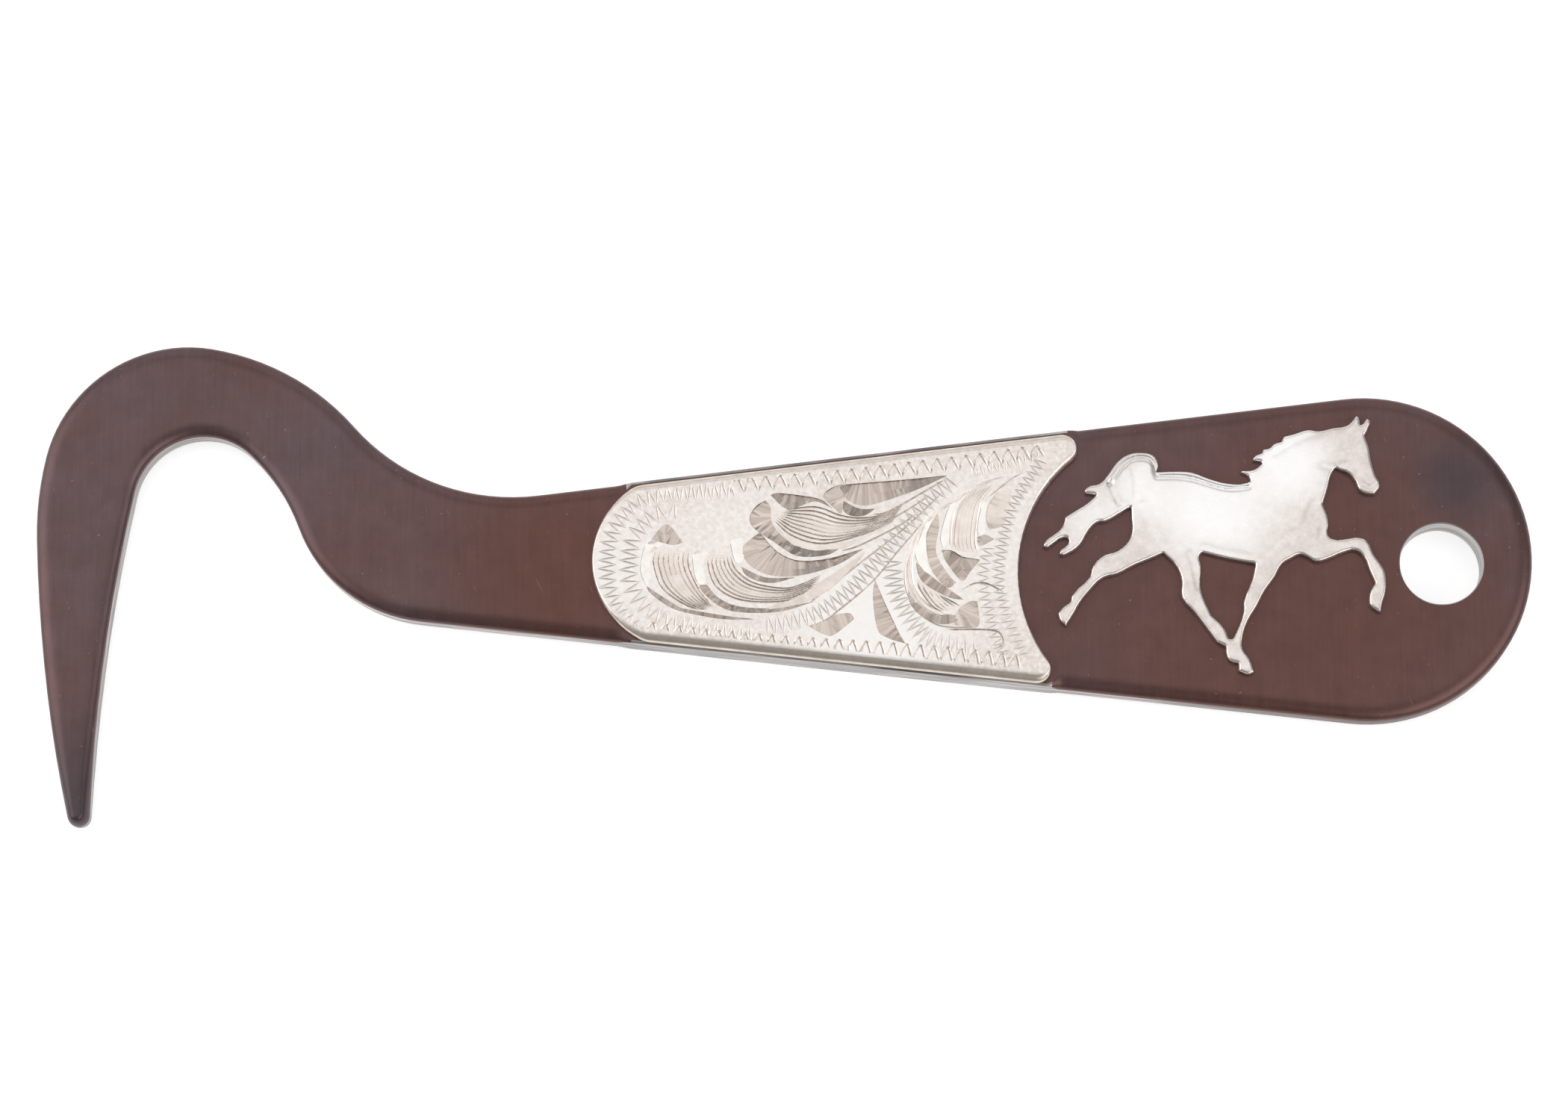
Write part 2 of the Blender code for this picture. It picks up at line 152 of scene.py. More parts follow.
# Engraved drawing, in pixels of the photograph, with the middle of the plate there
PLATE_MIDDLE = (1118, 748)
FACETS = {
    "first leaf tip": Facet(
        lip=[(872, 722), (893, 702), (915, 726)],
        root=[(872, 722), (900, 729), (915, 726)],
        tilt=7, finish=CUT,
    ),
    "first leaf shine": Facet(
        lip=[(872, 724), (888, 728), (877, 737), (871, 749), (869, 775), (866, 785)],
        root=[(872, 724), (863, 734), (858, 763), (866, 785)],
        tilt=4, finish=SHINE,
    ),
    "first leaf edge": Facet(
        lip=[(866, 785), (907, 811), (922, 816), (975, 825), (1012, 829)],
        root=[(866, 785), (874, 796), (903, 815), (945, 825), (975, 829), (1012, 829)],
        tilt=10, finish=DARK,
    ),
    "second leaf shine": Facet(
        lip=[(933, 737), (948, 739), (943, 751), (942, 764), (945, 776), (942, 786)],
        root=[(933, 737), (928, 748), (932, 775), (942, 786)],
        tilt=4, finish=SHINE,
    ),
    "second leaf edge": Facet(
        lip=[(947, 783), (962, 800), (990, 812), (1040, 814), (1092, 805)],
        root=[(947, 783), (937, 786), (957, 807), (986, 819), (1042, 819), (1092, 805)],
        tilt=6, finish=DARK,
    ),
    "third leaf shine": Facet(
        lip=[(985, 718), (995, 722), (994, 735), (997, 746), (992, 754)],
        root=[(985, 718), (979, 726), (984, 750), (992, 754)],
        tilt=4, finish=SHINE,
    ),
    "third leaf fan": Facet(
        lip=[(1017, 713), (995, 733), (1002, 755), (1030, 770), (1070, 771), (1120, 757),
             (1157, 735)],
        root=[(1017, 713), (1041, 739), (1070, 751), (1110, 748), (1157, 735)],
        tilt=9, finish=CUT,
    ),
    "third leaf edge": Facet(
        lip=[(993, 759), (1018, 771), (1035, 774), (1065, 773)],
        root=[(993, 759), (999, 769), (1014, 777), (1035, 780), (1065, 773)],
        tilt=10, finish=DARK,
    ),
    "third leaf band": Facet(
        lip=[(1022, 817), (1075, 792), (1105, 775), (1160, 738)],
        root=[(1022, 817), (1060, 811), (1090, 801), (1112, 788), (1134, 768), (1160, 738)],
        tilt=7, finish=LEAF,
    ),
    "fourth leaf hook": Facet(
        lip=[(1025, 670), (1032, 679), (1035, 702), (1058, 726), (1090, 737), (1126, 733)],
        root=[(1025, 670), (1012, 679), (1005, 692), (1009, 706), (1036, 725), (1068, 744),
              (1107, 743), (1126, 733)],
        tilt=12, finish=CUT,
    ),
    "fourth leaf shine": Facet(
        lip=[(1034, 699), (1061, 720), (1100, 730), (1150, 721), (1200, 697)],
        root=[(1034, 699), (1057, 725), (1074, 732), (1119, 735), (1150, 725), (1200, 697)],
        tilt=4, finish=LEAF,
    ),
    "fourth leaf top": Facet(
        lip=[(1032, 663), (1050, 680), (1063, 681), (1088, 672), (1101, 674), (1115, 681)],
        root=[(1032, 663), (1045, 661), (1095, 668), (1115, 681)],
        tilt=12, finish=CUT,
    ),
    "fifth leaf tip": Facet(
        lip=[(1122, 650), (1129, 660), (1131, 672), (1127, 689)],
        root=[(1122, 650), (1110, 656), (1104, 666), (1127, 689)],
        tilt=14, finish=CUT,
    ),
    "fifth leaf face": Facet(
        lip=[(1122, 650), (1132, 667), (1160, 677), (1220, 659), (1269, 637)],
        root=[(1122, 650), (1210, 643), (1269, 637)],
        tilt=12, finish=CUT,
    ),
    "fifth leaf edge": Facet(
        lip=[(1130, 671), (1151, 681), (1172, 681)],
        root=[(1130, 671), (1131, 685), (1145, 691), (1160, 689), (1172, 681)],
        tilt=13, finish=DARK,
    ),
    "lower leaf": Facet(
        lip=[(1083, 838), (1100, 832), (1115, 824), (1138, 821), (1144, 829)],
        root=[(1083, 838), (1106, 850), (1118, 849), (1144, 829)],
        tilt=6, finish=CUT,
    ),
    "lower thorn": Facet(
        lip=[(1172, 775), (1169, 800), (1175, 842), (1188, 854), (1213, 862)],
        root=[(1172, 775), (1180, 797), (1203, 846), (1213, 862)],
        tilt=10, finish=CUT,
    ),
    "outer scroll shine": Facet(
        lip=[(1250, 690), (1241, 722), (1242, 753), (1248, 771)],
        root=[(1250, 690), (1239, 704), (1227, 737), (1229, 752), (1237, 763), (1248, 771)],
        tilt=4, finish=SHINE,
    ),
    "outer scroll band": Facet(
        lip=[(1256, 688), (1258, 705), (1254, 740), (1271, 770), (1281, 780)],
        root=[(1256, 688), (1245, 707), (1241, 724), (1247, 760), (1268, 786), (1281, 780)],
        tilt=9, finish=CUT,
    ),
    "inner scroll shine": Facet(
        lip=[(1285, 663), (1272, 700), (1271, 718), (1264, 735)],
        root=[(1285, 663), (1271, 680), (1260, 718), (1264, 735)],
        tilt=4, finish=SHINE,
    ),
    "inner scroll face": Facet(
        lip=[(1261, 737), (1267, 752), (1288, 778), (1300, 765), (1313, 750)],
        root=[(1261, 737), (1275, 738), (1290, 746), (1313, 750)],
        tilt=7, finish=DARK,
    ),
    "low scroll face": Facet(
        lip=[(1227, 753), (1252, 775), (1291, 803)],
        root=[(1227, 753), (1231, 770), (1241, 783), (1270, 799), (1291, 803)],
        tilt=9, finish=DARK,
    ),
    "low scroll edge": Facet(
        lip=[(1216, 788), (1224, 802), (1246, 820), (1274, 823), (1287, 827)],
        root=[(1216, 788), (1219, 806), (1229, 820), (1243, 830), (1259, 835), (1274, 834),
              (1287, 827)],
        tilt=8, finish=DARK,
    ),
    "low scroll end": Facet(
        lip=[(1276, 836), (1278, 824), (1288, 812), (1300, 805), (1309, 805)],
        root=[(1276, 836), (1309, 839), (1309, 805)],
        tilt=6, finish=CUT,
    ),
    "small leaf shine": Facet(
        lip=[(1323, 668), (1319, 700), (1320, 711), (1314, 719)],
        root=[(1323, 668), (1314, 682), (1309, 710), (1314, 719)],
        tilt=4, finish=SHINE,
    ),
    "small leaf face": Facet(
        lip=[(1346, 649), (1354, 662), (1347, 697), (1339, 706), (1325, 709)],
        root=[(1346, 649), (1332, 664), (1323, 680), (1321, 696), (1325, 709)],
        tilt=6, finish=LEAF,
    ),
    "small leaf root": Facet(
        lip=[(1309, 719), (1320, 716), (1332, 722)],
        root=[(1309, 719), (1312, 731), (1332, 722)],
        tilt=12, finish=LEAF,
    ),
}
FANS = {
    "first leaf lines": Fan(
        first=[(878, 738), (876, 755), (888, 788), (920, 811), (945, 817)],
        last=[(923, 738), (922, 752), (926, 768), (940, 795), (957, 814)],
        count=8, finish=DARK,
    ),
    "second leaf lines": Fan(
        first=[(952, 742), (949, 757), (961, 787), (995, 804), (1050, 805), (1090, 792)],
        last=[(978, 744), (987, 764), (1010, 781), (1050, 788), (1075, 782), (1100, 770)],
        count=7, finish=DARK,
    ),
    "fourth leaf lines": Fan(
        first=[(1052, 683), (1086, 679), (1104, 682), (1124, 690), (1150, 694), (1180, 690),
               (1212, 674)],
        last=[(1037, 697), (1062, 718), (1102, 728), (1155, 716), (1198, 697)],
        count=9, finish=DARK,
    ),
    "inner scroll lines": Fan(
        first=[(1300, 655), (1279, 685), (1273, 722), (1276, 736)],
        last=[(1336, 646), (1320, 662), (1311, 680), (1306, 722), (1310, 743)],
        count=7, finish=LEAF,
    ),
    "low scroll lines": Fan(
        first=[(1229, 775), (1232, 788), (1249, 812), (1264, 820)],
        last=[(1262, 797), (1270, 803), (1287, 812)],
        count=6, finish=DARK,
    ),
    "outer scroll lines": Fan(
        first=[(1345, 638), (1310, 650), (1276, 671), (1247, 689), (1226, 716), (1214, 753),
               (1212, 777), (1218, 800), (1236, 825), (1262, 839), (1306, 841)],
        last=[(1300, 657), (1240, 701), (1222, 745), (1224, 792), (1232, 806)],
        count=4, finish=LEAF,
    ),
}
SINGLE_LINES = {
    "stem upper edge": [(1082, 809), (1148, 757), (1207, 711), (1261, 661)],
    "stem lower edge": [(1100, 836), (1165, 782), (1205, 735), (1240, 695)],
    "under fifth leaf": [(1168, 689), (1192, 684), (1266, 642)],
    "under fifth leaf low": [(1150, 704), (1185, 698), (1215, 683), (1245, 663)],
    "fourth leaf flow": [(1126, 738), (1150, 731), (1204, 704), (1232, 684)],
    "curl": [(1288, 790), (1303, 782), (1320, 781), (1345, 793)],
    "bulb": [(1268, 843), (1328, 844), (1343, 853), (1342, 864), (1328, 870)],
    "small leaf stem": [(1322, 667), (1352, 643), (1370, 633)],
}
BANDS = {
    "top border": Band(
        path=[(978, 661), (1050, 656), (1100, 652), (1150, 647), (1250, 635), (1300, 629),
              (1350, 622), (1400, 614)],
        pitch=1.56, height=1.59, rounded=True, width=0.28, depth=0.1,
    ),
    "bottom border": Band(
        path=[(862, 855), (930, 864), (980, 869), (1040, 874), (1100, 878), (1180, 883),
              (1260, 889), (1330, 896), (1366, 901)],
        pitch=1.45, height=1.83, rounded=True, width=0.28, depth=0.1,
    ),
    "outer nose": Band(
        path=[(985, 668), (950, 671), (880, 676), (850, 694), (831, 722), (826, 757), (829, 787),
              (842, 813), (865, 835), (895, 848)],
        pitch=0.84, height=-2.07, rounded=False, width=0.22, depth=0.036,
    ),
    "inner nose": Band(
        path=[(905, 699), (890, 698), (872, 712), (859, 733), (858, 780), (886, 812), (945, 829),
              (1015, 838)],
        pitch=0.88, height=-2.23, rounded=False, width=0.22, depth=0.036,
    ),
    "bite": Band(
        path=[(1404, 622), (1372, 672), (1359, 703), (1348, 765), (1356, 818), (1381, 874)],
        pitch=0.76, height=-1.67, rounded=False, width=0.18, depth=0.03,
    ),
    "inner bite": Band(
        path=[(1334, 735), (1327, 765), (1329, 795), (1344, 850), (1358, 880)],
        pitch=0.80, height=-1.59, rounded=False, width=0.16, depth=0.02,
    ),
    "corner": Band(
        path=[(1300, 640), (1335, 634), (1370, 625), (1400, 612)],
        pitch=0.76, height=1.28, rounded=False, width=0.15, depth=0.035,
    ),
    "stem": Band(
        path=[(1028, 852), (1094, 838), (1142, 807), (1182, 766), (1216, 724), (1258, 678),
              (1285, 654)],
        pitch=0.88, height=2.31, rounded=False, width=0.21, depth=0.032,
    ),
    "branch": Band(
        path=[(1178, 752), (1187, 800), (1216, 850), (1240, 870), (1270, 879), (1306, 884)],
        pitch=0.92, height=2.47, rounded=False, width=0.21, depth=0.032,
    ),
}

# Folds in the relief of the horse, in pixels of the photograph, with the middle of the horse there
HORSE_MIDDLE = (1626, 729)
CREASES = {
    "tail groove": Crease(
        path=[(1487, 645), (1502, 624), (1519, 613), (1536, 612), (1546, 621), (1549, 633)],
        width=0.26, rise=-0.17,
    ),
    "back line": Crease(
        path=[(1549, 637), (1576, 637), (1598, 640), (1642, 652), (1672, 651)],
        width=0.24, rise=-0.16,
    ),
    "tail fold": Crease(
        path=[(1488, 648), (1493, 661), (1499, 673)],
        width=0.4, rise=-0.11,
    ),
    "tail root": Crease(
        path=[(1518, 626), (1521, 642), (1522, 662)],
        width=0.4, rise=-0.087,
    ),
    "rump fold": Crease(
        path=[(1529, 677), (1538, 696), (1556, 728)],
        width=0.8, rise=-0.11,
    ),
    "stifle": Crease(
        path=[(1593, 742), (1600, 762), (1606, 785)],
        width=0.5, rise=-0.087,
    ),
    "flank": Crease(
        path=[(1612, 732), (1640, 739), (1672, 745)],
        width=0.5, rise=-0.05,
    ),
    "shoulder": Crease(
        path=[(1676, 668), (1666, 692), (1660, 715)],
        width=0.7, rise=-0.058,
    ),
    "elbow": Crease(
        path=[(1700, 742), (1712, 728), (1725, 715)],
        width=0.5, rise=-0.058,
    ),
    "chest fold": Crease(
        path=[(1760, 673), (1749, 700), (1743, 724)],
        width=0.5, rise=-0.072,
    ),
    "chest": Crease(
        path=[(1772, 705), (1768, 725), (1755, 738)],
        width=0.5, rise=-0.058,
    ),
    "jaw": Crease(
        path=[(1772, 622), (1786, 626), (1800, 622)],
        width=0.5, rise=-0.072,
    ),
    "mane": Crease(
        path=[(1700, 612), (1725, 597), (1750, 585), (1780, 577)],
        width=0.35, rise=-0.03,
    ),
    "nostril": Crease(
        path=[(1826, 648), (1836, 652), (1842, 647)],
        width=0.3, rise=-0.072,
    ),
}

# Face of the horse, in millimetres: rows of points along its edge, the net of points further in, and
# where the folds fade at the edge. A row keeps the points that have this share of its inset
EDGE_INSETS = (0.07, 0.15, 0.25, 0.38, 0.55)
RELIEF_STEP = 0.22
CREASE_FADE = 0.3
ROW_KEEP = 0.96

# Levels of the CAD walls above their rounded rims, in metres
BAR_WALL_LEVEL = 0.0005
HOLE_WALL_LEVEL = 0.0003

# Steps round the hang hole, reach of the worn tip, and reach of the filing beside the plate with
# the share of the rim that it left, in millimetres
HOLE_STEP = 0.3
TIP_REACH = 14.0
FILED_REACH = 0.7
FILED_RIM = 0.15

# Stains of the steel and lighter places of the silver: pixels of the photograph, with
# their reach in metres, and the share of its reach where a stain is full
STAIN_CORE = 0.2
RED_STAINS = (
    Stain((745, 765), 0.018, 0.9),
    Stain((1730, 850), 0.04, 0.75),
)
BLOOM_AND_DARKER_TIP = (
    Stain((1955, 640), 0.0065, 0.8),
    Stain((105, 1130), 0.02, 0.9),
)
BROWN_EDGES = (
    Stain((1960, 860), 0.042, 1.0),
)
LIGHTER_GROUND = (
    Stain((830, 760), 0.009, 0.6),
    Stain((1000, 740), 0.013, 0.4),
    Stain((1170, 840), 0.013, 0.9),
    Stain((1290, 735), 0.014, 0.5),
)
WHITER_BODY = (
    Stain((1625, 675), 0.01, 1.0),
    Stain((1725, 620), 0.007, 1.0),
    Stain((1530, 655), 0.005, 0.8),
    Stain((1470, 700), 0.005, 0.6),
)

# Floor and lamps, in metres
FLOOR_SIZE = 6.0
FLOOR_LEVEL = -0.0001
LAMPS = {
    "overhead": Lamp((0.0, 0.26, 1.2), (0.0, 0.26, 0.0), (1.2, 0.8)),
    "left": Lamp((-1.0, 0.1, 0.65), (0.0, 0.0, 0.0), (1.2, 1.1)),
    "right": Lamp((0.75, -0.5, 0.75), (0.0, 0.0, 0.0), (1.5, 0.7)),
    "back": Lamp((0.0, 1.1, 0.62), (0.0, 0.0, 0.0), (1.8, 0.95)),
}


def linear(hex_colour):
    """Linear colour of an sRGB hex value."""
    shares = [int(hex_colour[place:place + 2], 16) / 255.0 for place in (0, 2, 4)]
    return tuple(
        share / 12.92 if share <= 0.04045 else ((share + 0.055) / 1.055) ** 2.4
        for share in shares
    )


def opaque(colour):
    """Colour with full alpha, as a node's socket takes it."""
    return (*colour, 1.0)


def add_node(tree, kind, inputs=None, **settings):
    """Node of one kind with its settings, and inputs given as values or as sockets to link."""
    node = tree.nodes.new(kind)
    for name, value in settings.items():
        setattr(node, name, value)
    for name, value in (inputs or {}).items():
        if isinstance(value, bpy.types.NodeSocket):
            tree.links.new(value, node.inputs[name])
        else:
            node.inputs[name].default_value = value
    return node


def start_material(name, metallic, roughness):
    """Material with its node tree, its shader and the part's own coordinates in metres."""
    material = bpy.data.materials.new(name)
    material.use_nodes = True
    tree = material.node_tree
    shader = tree.nodes["Principled BSDF"]
    shader.inputs["Metallic"].default_value = metallic
    shader.inputs["Roughness"].default_value = roughness
    place = add_node(tree, "ShaderNodeTexCoord").outputs["Object"]
    return material, tree, shader, place


def arc_lengths(line):
    """Length along a line up to each of its points."""
    steps = np.linalg.norm(np.diff(line, axis=0), axis=1)
    return np.concatenate(([0.0], np.cumsum(steps)))


def resample(line, count):
    """A number of points evenly spaced along a line."""
    lengths = arc_lengths(line)
    places = np.linspace(0.0, lengths[-1], count)
    return np.column_stack([np.interp(places, lengths, line[:, axis]) for axis in (0, 1)])


def view_axes(tilt, turn):
    """Right, upward and backward axes of a view that leans from straight down."""
    return Matrix.Rotation(turn, 3, "Y") @ Matrix.Rotation(tilt, 3, "X")


def on_overlays(pixels):
    """Where the photograph shows some pixels on the overlays' faces, in millimetres."""
    axes = np.array(view_axes(math.radians(VIEW_TILT), math.radians(VIEW_TURN)))
    eye = np.array(VIEW_AIM) + VIEW_DISTANCE * axes[:, 2]
    across, downward = np.array(pixels, float).T
    rays = np.column_stack((
        across - FRAME_WIDTH / 2.0, FRAME_HEIGHT / 2.0 - downward,
        np.full(len(pixels), -FOCAL_PIXELS),
    )) @ axes.T
    places = eye + rays * (OVERLAY_LEVEL - eye[2]) / rays[:, 2:]
    return places[:, :2] / MM


def drawn_curve(pixels, count=0):
    """Smooth curve through drawn points, as evenly spaced points."""
    knots = on_overlays(pixels)
    ends = np.vstack((2.0 * knots[0] - knots[1], knots, 2.0 * knots[-1] - knots[-2]))
    share = np.linspace(0.0, 1.0, KNOT_STEPS, endpoint=False)[:, None]
    runs = []
    for before, start, end, after in zip(ends, ends[1:], ends[2:], ends[3:]):
        pull = end - before
        bend = 2.0 * before - 5.0 * start + 4.0 * end - after
        twist = 3.0 * (start - end) + after - before
        runs.append(start + 0.5 * share * (pull + share * (bend + share * twist)))
    fine = np.vstack((*runs, knots[-1:]))
    return resample(fine, count or 1 + math.ceil(arc_lengths(fine)[-1] / CURVE_STEP))


def left_normals(line, closed=False):
    """Unit normals to the left of a line at each of its points."""
    if closed:
        along = np.roll(line, -1, axis=0) - np.roll(line, 1, axis=0)
    else:
        along = np.gradient(line, axis=0)
    along = along / np.maximum(np.linalg.norm(along, axis=1), TINY)[:, None]
    return np.column_stack((-along[:, 1], along[:, 0]))


def signed_area(loop):
    """Area inside a loop, negative where it runs clockwise."""
    across, upward = loop.T
    return 0.5 * np.sum(across * np.roll(upward, -1) - upward * np.roll(across, -1))


def level_loops(node, level):
    """Outlines of a CAD node on one level, in millimetres, the largest first.

    Each one has the solid on its left.
    """
    shape = bmesh.new()
    shape.from_mesh(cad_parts[node].data)
    bmesh.ops.remove_doubles(shape, verts=shape.verts, dist=SAME_POINT)
    shape.edges.index_update()
    level_spots = {spot for spot in shape.verts if abs(spot.co.z - level) < SAME_LEVEL}
    edges = {}
    for edge in shape.edges:
        caps = sum(level_spots.issuperset(face.verts) for face in edge.link_faces)
        if level_spots.issuperset(edge.verts) and caps < 2:
            edges[edge.index] = edge
    loops = []
    while edges:
        start, spot = edges.pop(min(edges)).verts
        loop = [start.co.xy]
        while spot != start:
            loop.append(spot.co.xy)
            edge = next(edge for edge in spot.link_edges if edge.index in edges)
            spot = edges.pop(edge.index).other_vert(spot)
        loops.append(np.array(loop) / MM)
    shape.free()
    loops.sort(key=lambda loop: -abs(signed_area(loop)))
    return [
        loop if (signed_area(loop) > 0.0) == (number == 0) else loop[::-1]
        for number, loop in enumerate(loops)
    ]


def refine(loop, step):
    """Loop whose straight runs are split to be no longer than a step."""
    runs = []
    for start, end in zip(loop, np.roll(loop, -1, axis=0)):
        count = max(1, math.ceil(np.linalg.norm(end - start) / step))
        runs.append(start + (end - start) * np.arange(count)[:, None] / count)
    return np.vstack(runs)


def inside(points, loops):
    """Whether each point lies inside a set of outlines."""
    odd = np.zeros(len(points), bool)
    across, upward = points.T
    for loop in loops:
        for (x0, y0), (x1, y1) in zip(loop, np.roll(loop, -1, axis=0)):
            if y0 != y1:
                beside = x0 + (upward - y0) * (x1 - x0) / (y1 - y0) > across
                odd ^= beside & ((y0 > upward) != (y1 > upward))
    return odd


def nearest_on(points, line, closed=False):
    """Distance of each point from a line, and how far along the line its nearest place is."""
    starts = line if closed else line[:-1]
    ends = np.roll(line, -1, axis=0) if closed else line[1:]
    nearest = np.full(len(points), np.inf)
    along = np.zeros(len(points))
    passed = 0.0
    for start, end in zip(starts, ends):
        run = end - start
        length = np.linalg.norm(run)
        share = np.clip((points - start) @ run / max(length ** 2, TINY), 0.0, 1.0)
        gap = np.linalg.norm(points - start - share[:, None] * run, axis=1)
        closer = gap < nearest
        nearest[closer] = gap[closer]
        along[closer] = passed + length * share[closer]
        passed += length
    return nearest, along


def runs_inside(line, loop):
    """Parts of a line that stay clear of a loop around it."""
    clear = inside(line, [loop]) & (nearest_on(line, loop, True)[0] > RIM_CLEAR)
    ends = np.flatnonzero(np.diff(np.concatenate(((0,), clear, (0,)))))
    return [line[start:end] for start, end in zip(ends[::2], ends[1::2]) if end > start + 1]


def triangulate(loops, lines=(), spots=()):
    """Corners and triangles of the face inside outlines, with lines kept as edges."""
    points = []
    edges = []
    closed_lines = [np.vstack((loop, loop[:1])) for loop in loops]
    for line in (*closed_lines, *lines):
        first = len(points)
        points.extend(line)
        edges.extend((first + step, first + step + 1) for step in range(len(line) - 1))
    points.extend(spots)
    found = delaunay_2d_cdt([Vector(point) for point in points], edges, [], WITHIN_EDGES, MERGE_MM)
    corners = np.array([tuple(corner) for corner in found[0]])
    triangles = np.array(found[2])
    return corners, triangles[~inside(corners[triangles].mean(axis=1), loops[1:])]


class Shell:
    """Closed mesh in the making, with its points in millimetres."""

    def __init__(self):
        self.points = []
        self.faces = []
        self.finishes = []
        self.smooth = []
        self.strokes = []

    def loft(self, rows, finishes):
        """Smooth wall through a pile of loops, with the solid on the left of each loop."""
        first = len(self.points)
        size = len(rows[0])
        self.points.extend(point for row in rows for point in row)
        for level, finish in enumerate(finishes):
            low = first + level * size
            for place in range(size):
                after = (place + 1) % size
                self.faces.append((low + place, low + after, low + size + after, low + size + place))
            self.finishes.extend(np.broadcast_to(finish, size))
        count = size * len(finishes)
        self.smooth.extend([True] * count)
        self.strokes.append(np.zeros((4 * count, 3)))

    def cap(self, corners, triangles, finishes, smooth=False, strokes=None):
        """Face made of triangles, which may say where each corner lies along its tool stroke."""
        first = len(self.points)
        self.points.extend(corners)
        self.faces.extend(tuple(first + corner for corner in triangle) for triangle in triangles)
        self.finishes.extend(finishes)
        self.smooth.extend([smooth] * len(triangles))
        self.strokes.append(np.zeros((3 * len(triangles), 3)) if strokes is None else strokes)

    def build(self, name, materials):
        """Welded mesh object with its materials."""
        mesh = bpy.data.meshes.new(name)
        mesh.from_pydata((np.array(self.points) * MM).tolist(), [], self.faces)
        for material in materials:
            mesh.materials.append(material)
        mesh.polygons.foreach_set("material_index", self.finishes)
        mesh.polygons.foreach_set("use_smooth", self.smooth)
        marks = mesh.attributes.new(TOOL_STROKE, "FLOAT_VECTOR", "CORNER")
        marks.data.foreach_set("vector", (np.vstack(self.strokes) * MM).ravel())
        shape = bmesh.new()
        shape.from_mesh(mesh)
        bmesh.ops.remove_doubles(shape, verts=shape.verts, dist=SAME_POINT)
        bmesh.ops.recalc_face_normals(shape, faces=shape.faces)
        gaps = sum(not edge.is_manifold for edge in shape.edges)
        shape.to_mesh(mesh)
        shape.free()
        if gaps:
            raise RuntimeError(f"{name} has {gaps} open edges")
        piece = bpy.data.objects.new(name, mesh)
        bpy.context.scene.collection.objects.link(piece)
        return piece


def moved_in(loop, levels):
    """Pile of loops: one loop moved to its left by an inset at each of several heights."""
    inward = left_normals(loop, closed=True)
    return [
        np.column_stack((loop + np.atleast_1d(inset)[:, None] * inward,
                         np.broadcast_to(height, len(loop))))
        for inset, height in levels
    ]


def rounding(width, drop, top):
    """Insets and heights of a rounded rim, from its wall up to its face."""
    turns = np.linspace(0.0, math.pi / 2.0, ROUND_STEPS)
    return [(width * (1.0 - math.cos(turn)), top - drop * (1.0 - math.sin(turn))) for turn in turns]


def flat_cap(shell, loops, height, finish):
    """Level face inside outlines."""
    corners, triangles = triangulate(loops)
    corners = np.column_stack((corners, np.full(len(corners), height)))
    shell.cap(corners, triangles, [finish] * len(triangles))


def groove(line, width, depth, run_out, finish):
    """V-shaped cut along a line, which runs out to nothing at both ends."""
    lengths = arc_lengths(line)
    swell = np.minimum(1.0, np.minimum(lengths, lengths[-1] - lengths) / run_out)
    side = left_normals(line) * (0.5 * width * swell)[:, None]
    rows = np.stack((line - side, line, line + side))
    return Cut(rows, np.outer((0.0, -1.0, 0.0), depth * swell), finish)


def bright_cut(shape, chatter):
    """Slanted cut that falls from its lip to its root and steps back up there."""
    count = max(len(drawn_curve(shape.lip)), len(drawn_curve(shape.root)))
    lip = drawn_curve(shape.lip, count)
    root = drawn_curve(shape.root, count)
    across = root - lip
    width = np.linalg.norm(across, axis=1)
    outward = across / np.maximum(width, TINY)[:, None]
    fall = np.minimum(width * math.tan(math.radians(shape.tilt)), DEEPEST_CUT)
    if shape.finish != SHINE:
        fall *= chatter.uniform(1.0 - CHATTER, 1.0, count)
    rows = np.stack((lip, (lip + root) / 2.0, root, root + outward * STEP_WIDTH))
    return Cut(rows, np.outer((0.0, -0.5, -1.0, 0.0), fall), shape.finish)


def shaded_leaf(fan, look):
    """Dished body of a leaf and the shading lines spread over it."""
    count = max(len(drawn_curve(fan.first)), len(drawn_curve(fan.last)))
    first = drawn_curve(fan.first, count)
    last = drawn_curve(fan.last, count)
    lines = [first + share * (last - first) for share in np.linspace(0.0, 1.0, fan.count)]
    ends = np.sin(np.linspace(0.0, math.pi, count)) ** 0.5
    sag = np.sin(np.linspace(0.0, math.pi, fan.count))
    body = Cut(np.stack(lines), -LEAF_DISH * np.outer(sag, ends), LEAF)
    width, depth = look.line_width / MM, look.line_depth / MM
    return [body] + [groove(line, width, depth, LINE_RUN_OUT, fan.finish) for line in lines]


def wriggles(band):
    """Strokes of a wriggle-cut band: rounded arches or a plain zigzag along its path."""
    path = drawn_curve(band.path)
    count = max(1, round(arc_lengths(path)[-1] / band.pitch))
    steps = ARCH_STEPS if band.rounded else 2
    base = resample(path, count * steps + 1)
    places = np.arange(len(base)) / steps
    if band.rounded:
        rise = np.abs(np.sin(math.pi * places))
    else:
        rise = 1.0 - 2.0 * np.abs(places % 1.0 - 0.5)
    line = base + left_normals(base) * (band.height * rise)[:, None]
    if band.rounded:
        return [line[start:start + steps + 1] for start in range(0, len(line) - 1, steps)]
    return [resample(line[start:start + 2], STROKE_POINTS) for start in range(len(line) - 1)]


def corners_of(cut):
    """Triangles of a cut's surface, with their heights."""
    surface = np.concatenate((cut.rows, cut.heights[:, :, None]), axis=2)
    near_start, near_end = surface[:-1, :-1], surface[:-1, 1:]
    far_start, far_end = surface[1:, :-1], surface[1:, 1:]
    halves = [np.stack(half, axis=2).reshape(-1, 3, 3) for half in (
        (near_start, near_end, far_end), (near_start, far_end, far_start),
    )]
    return np.concatenate(halves)


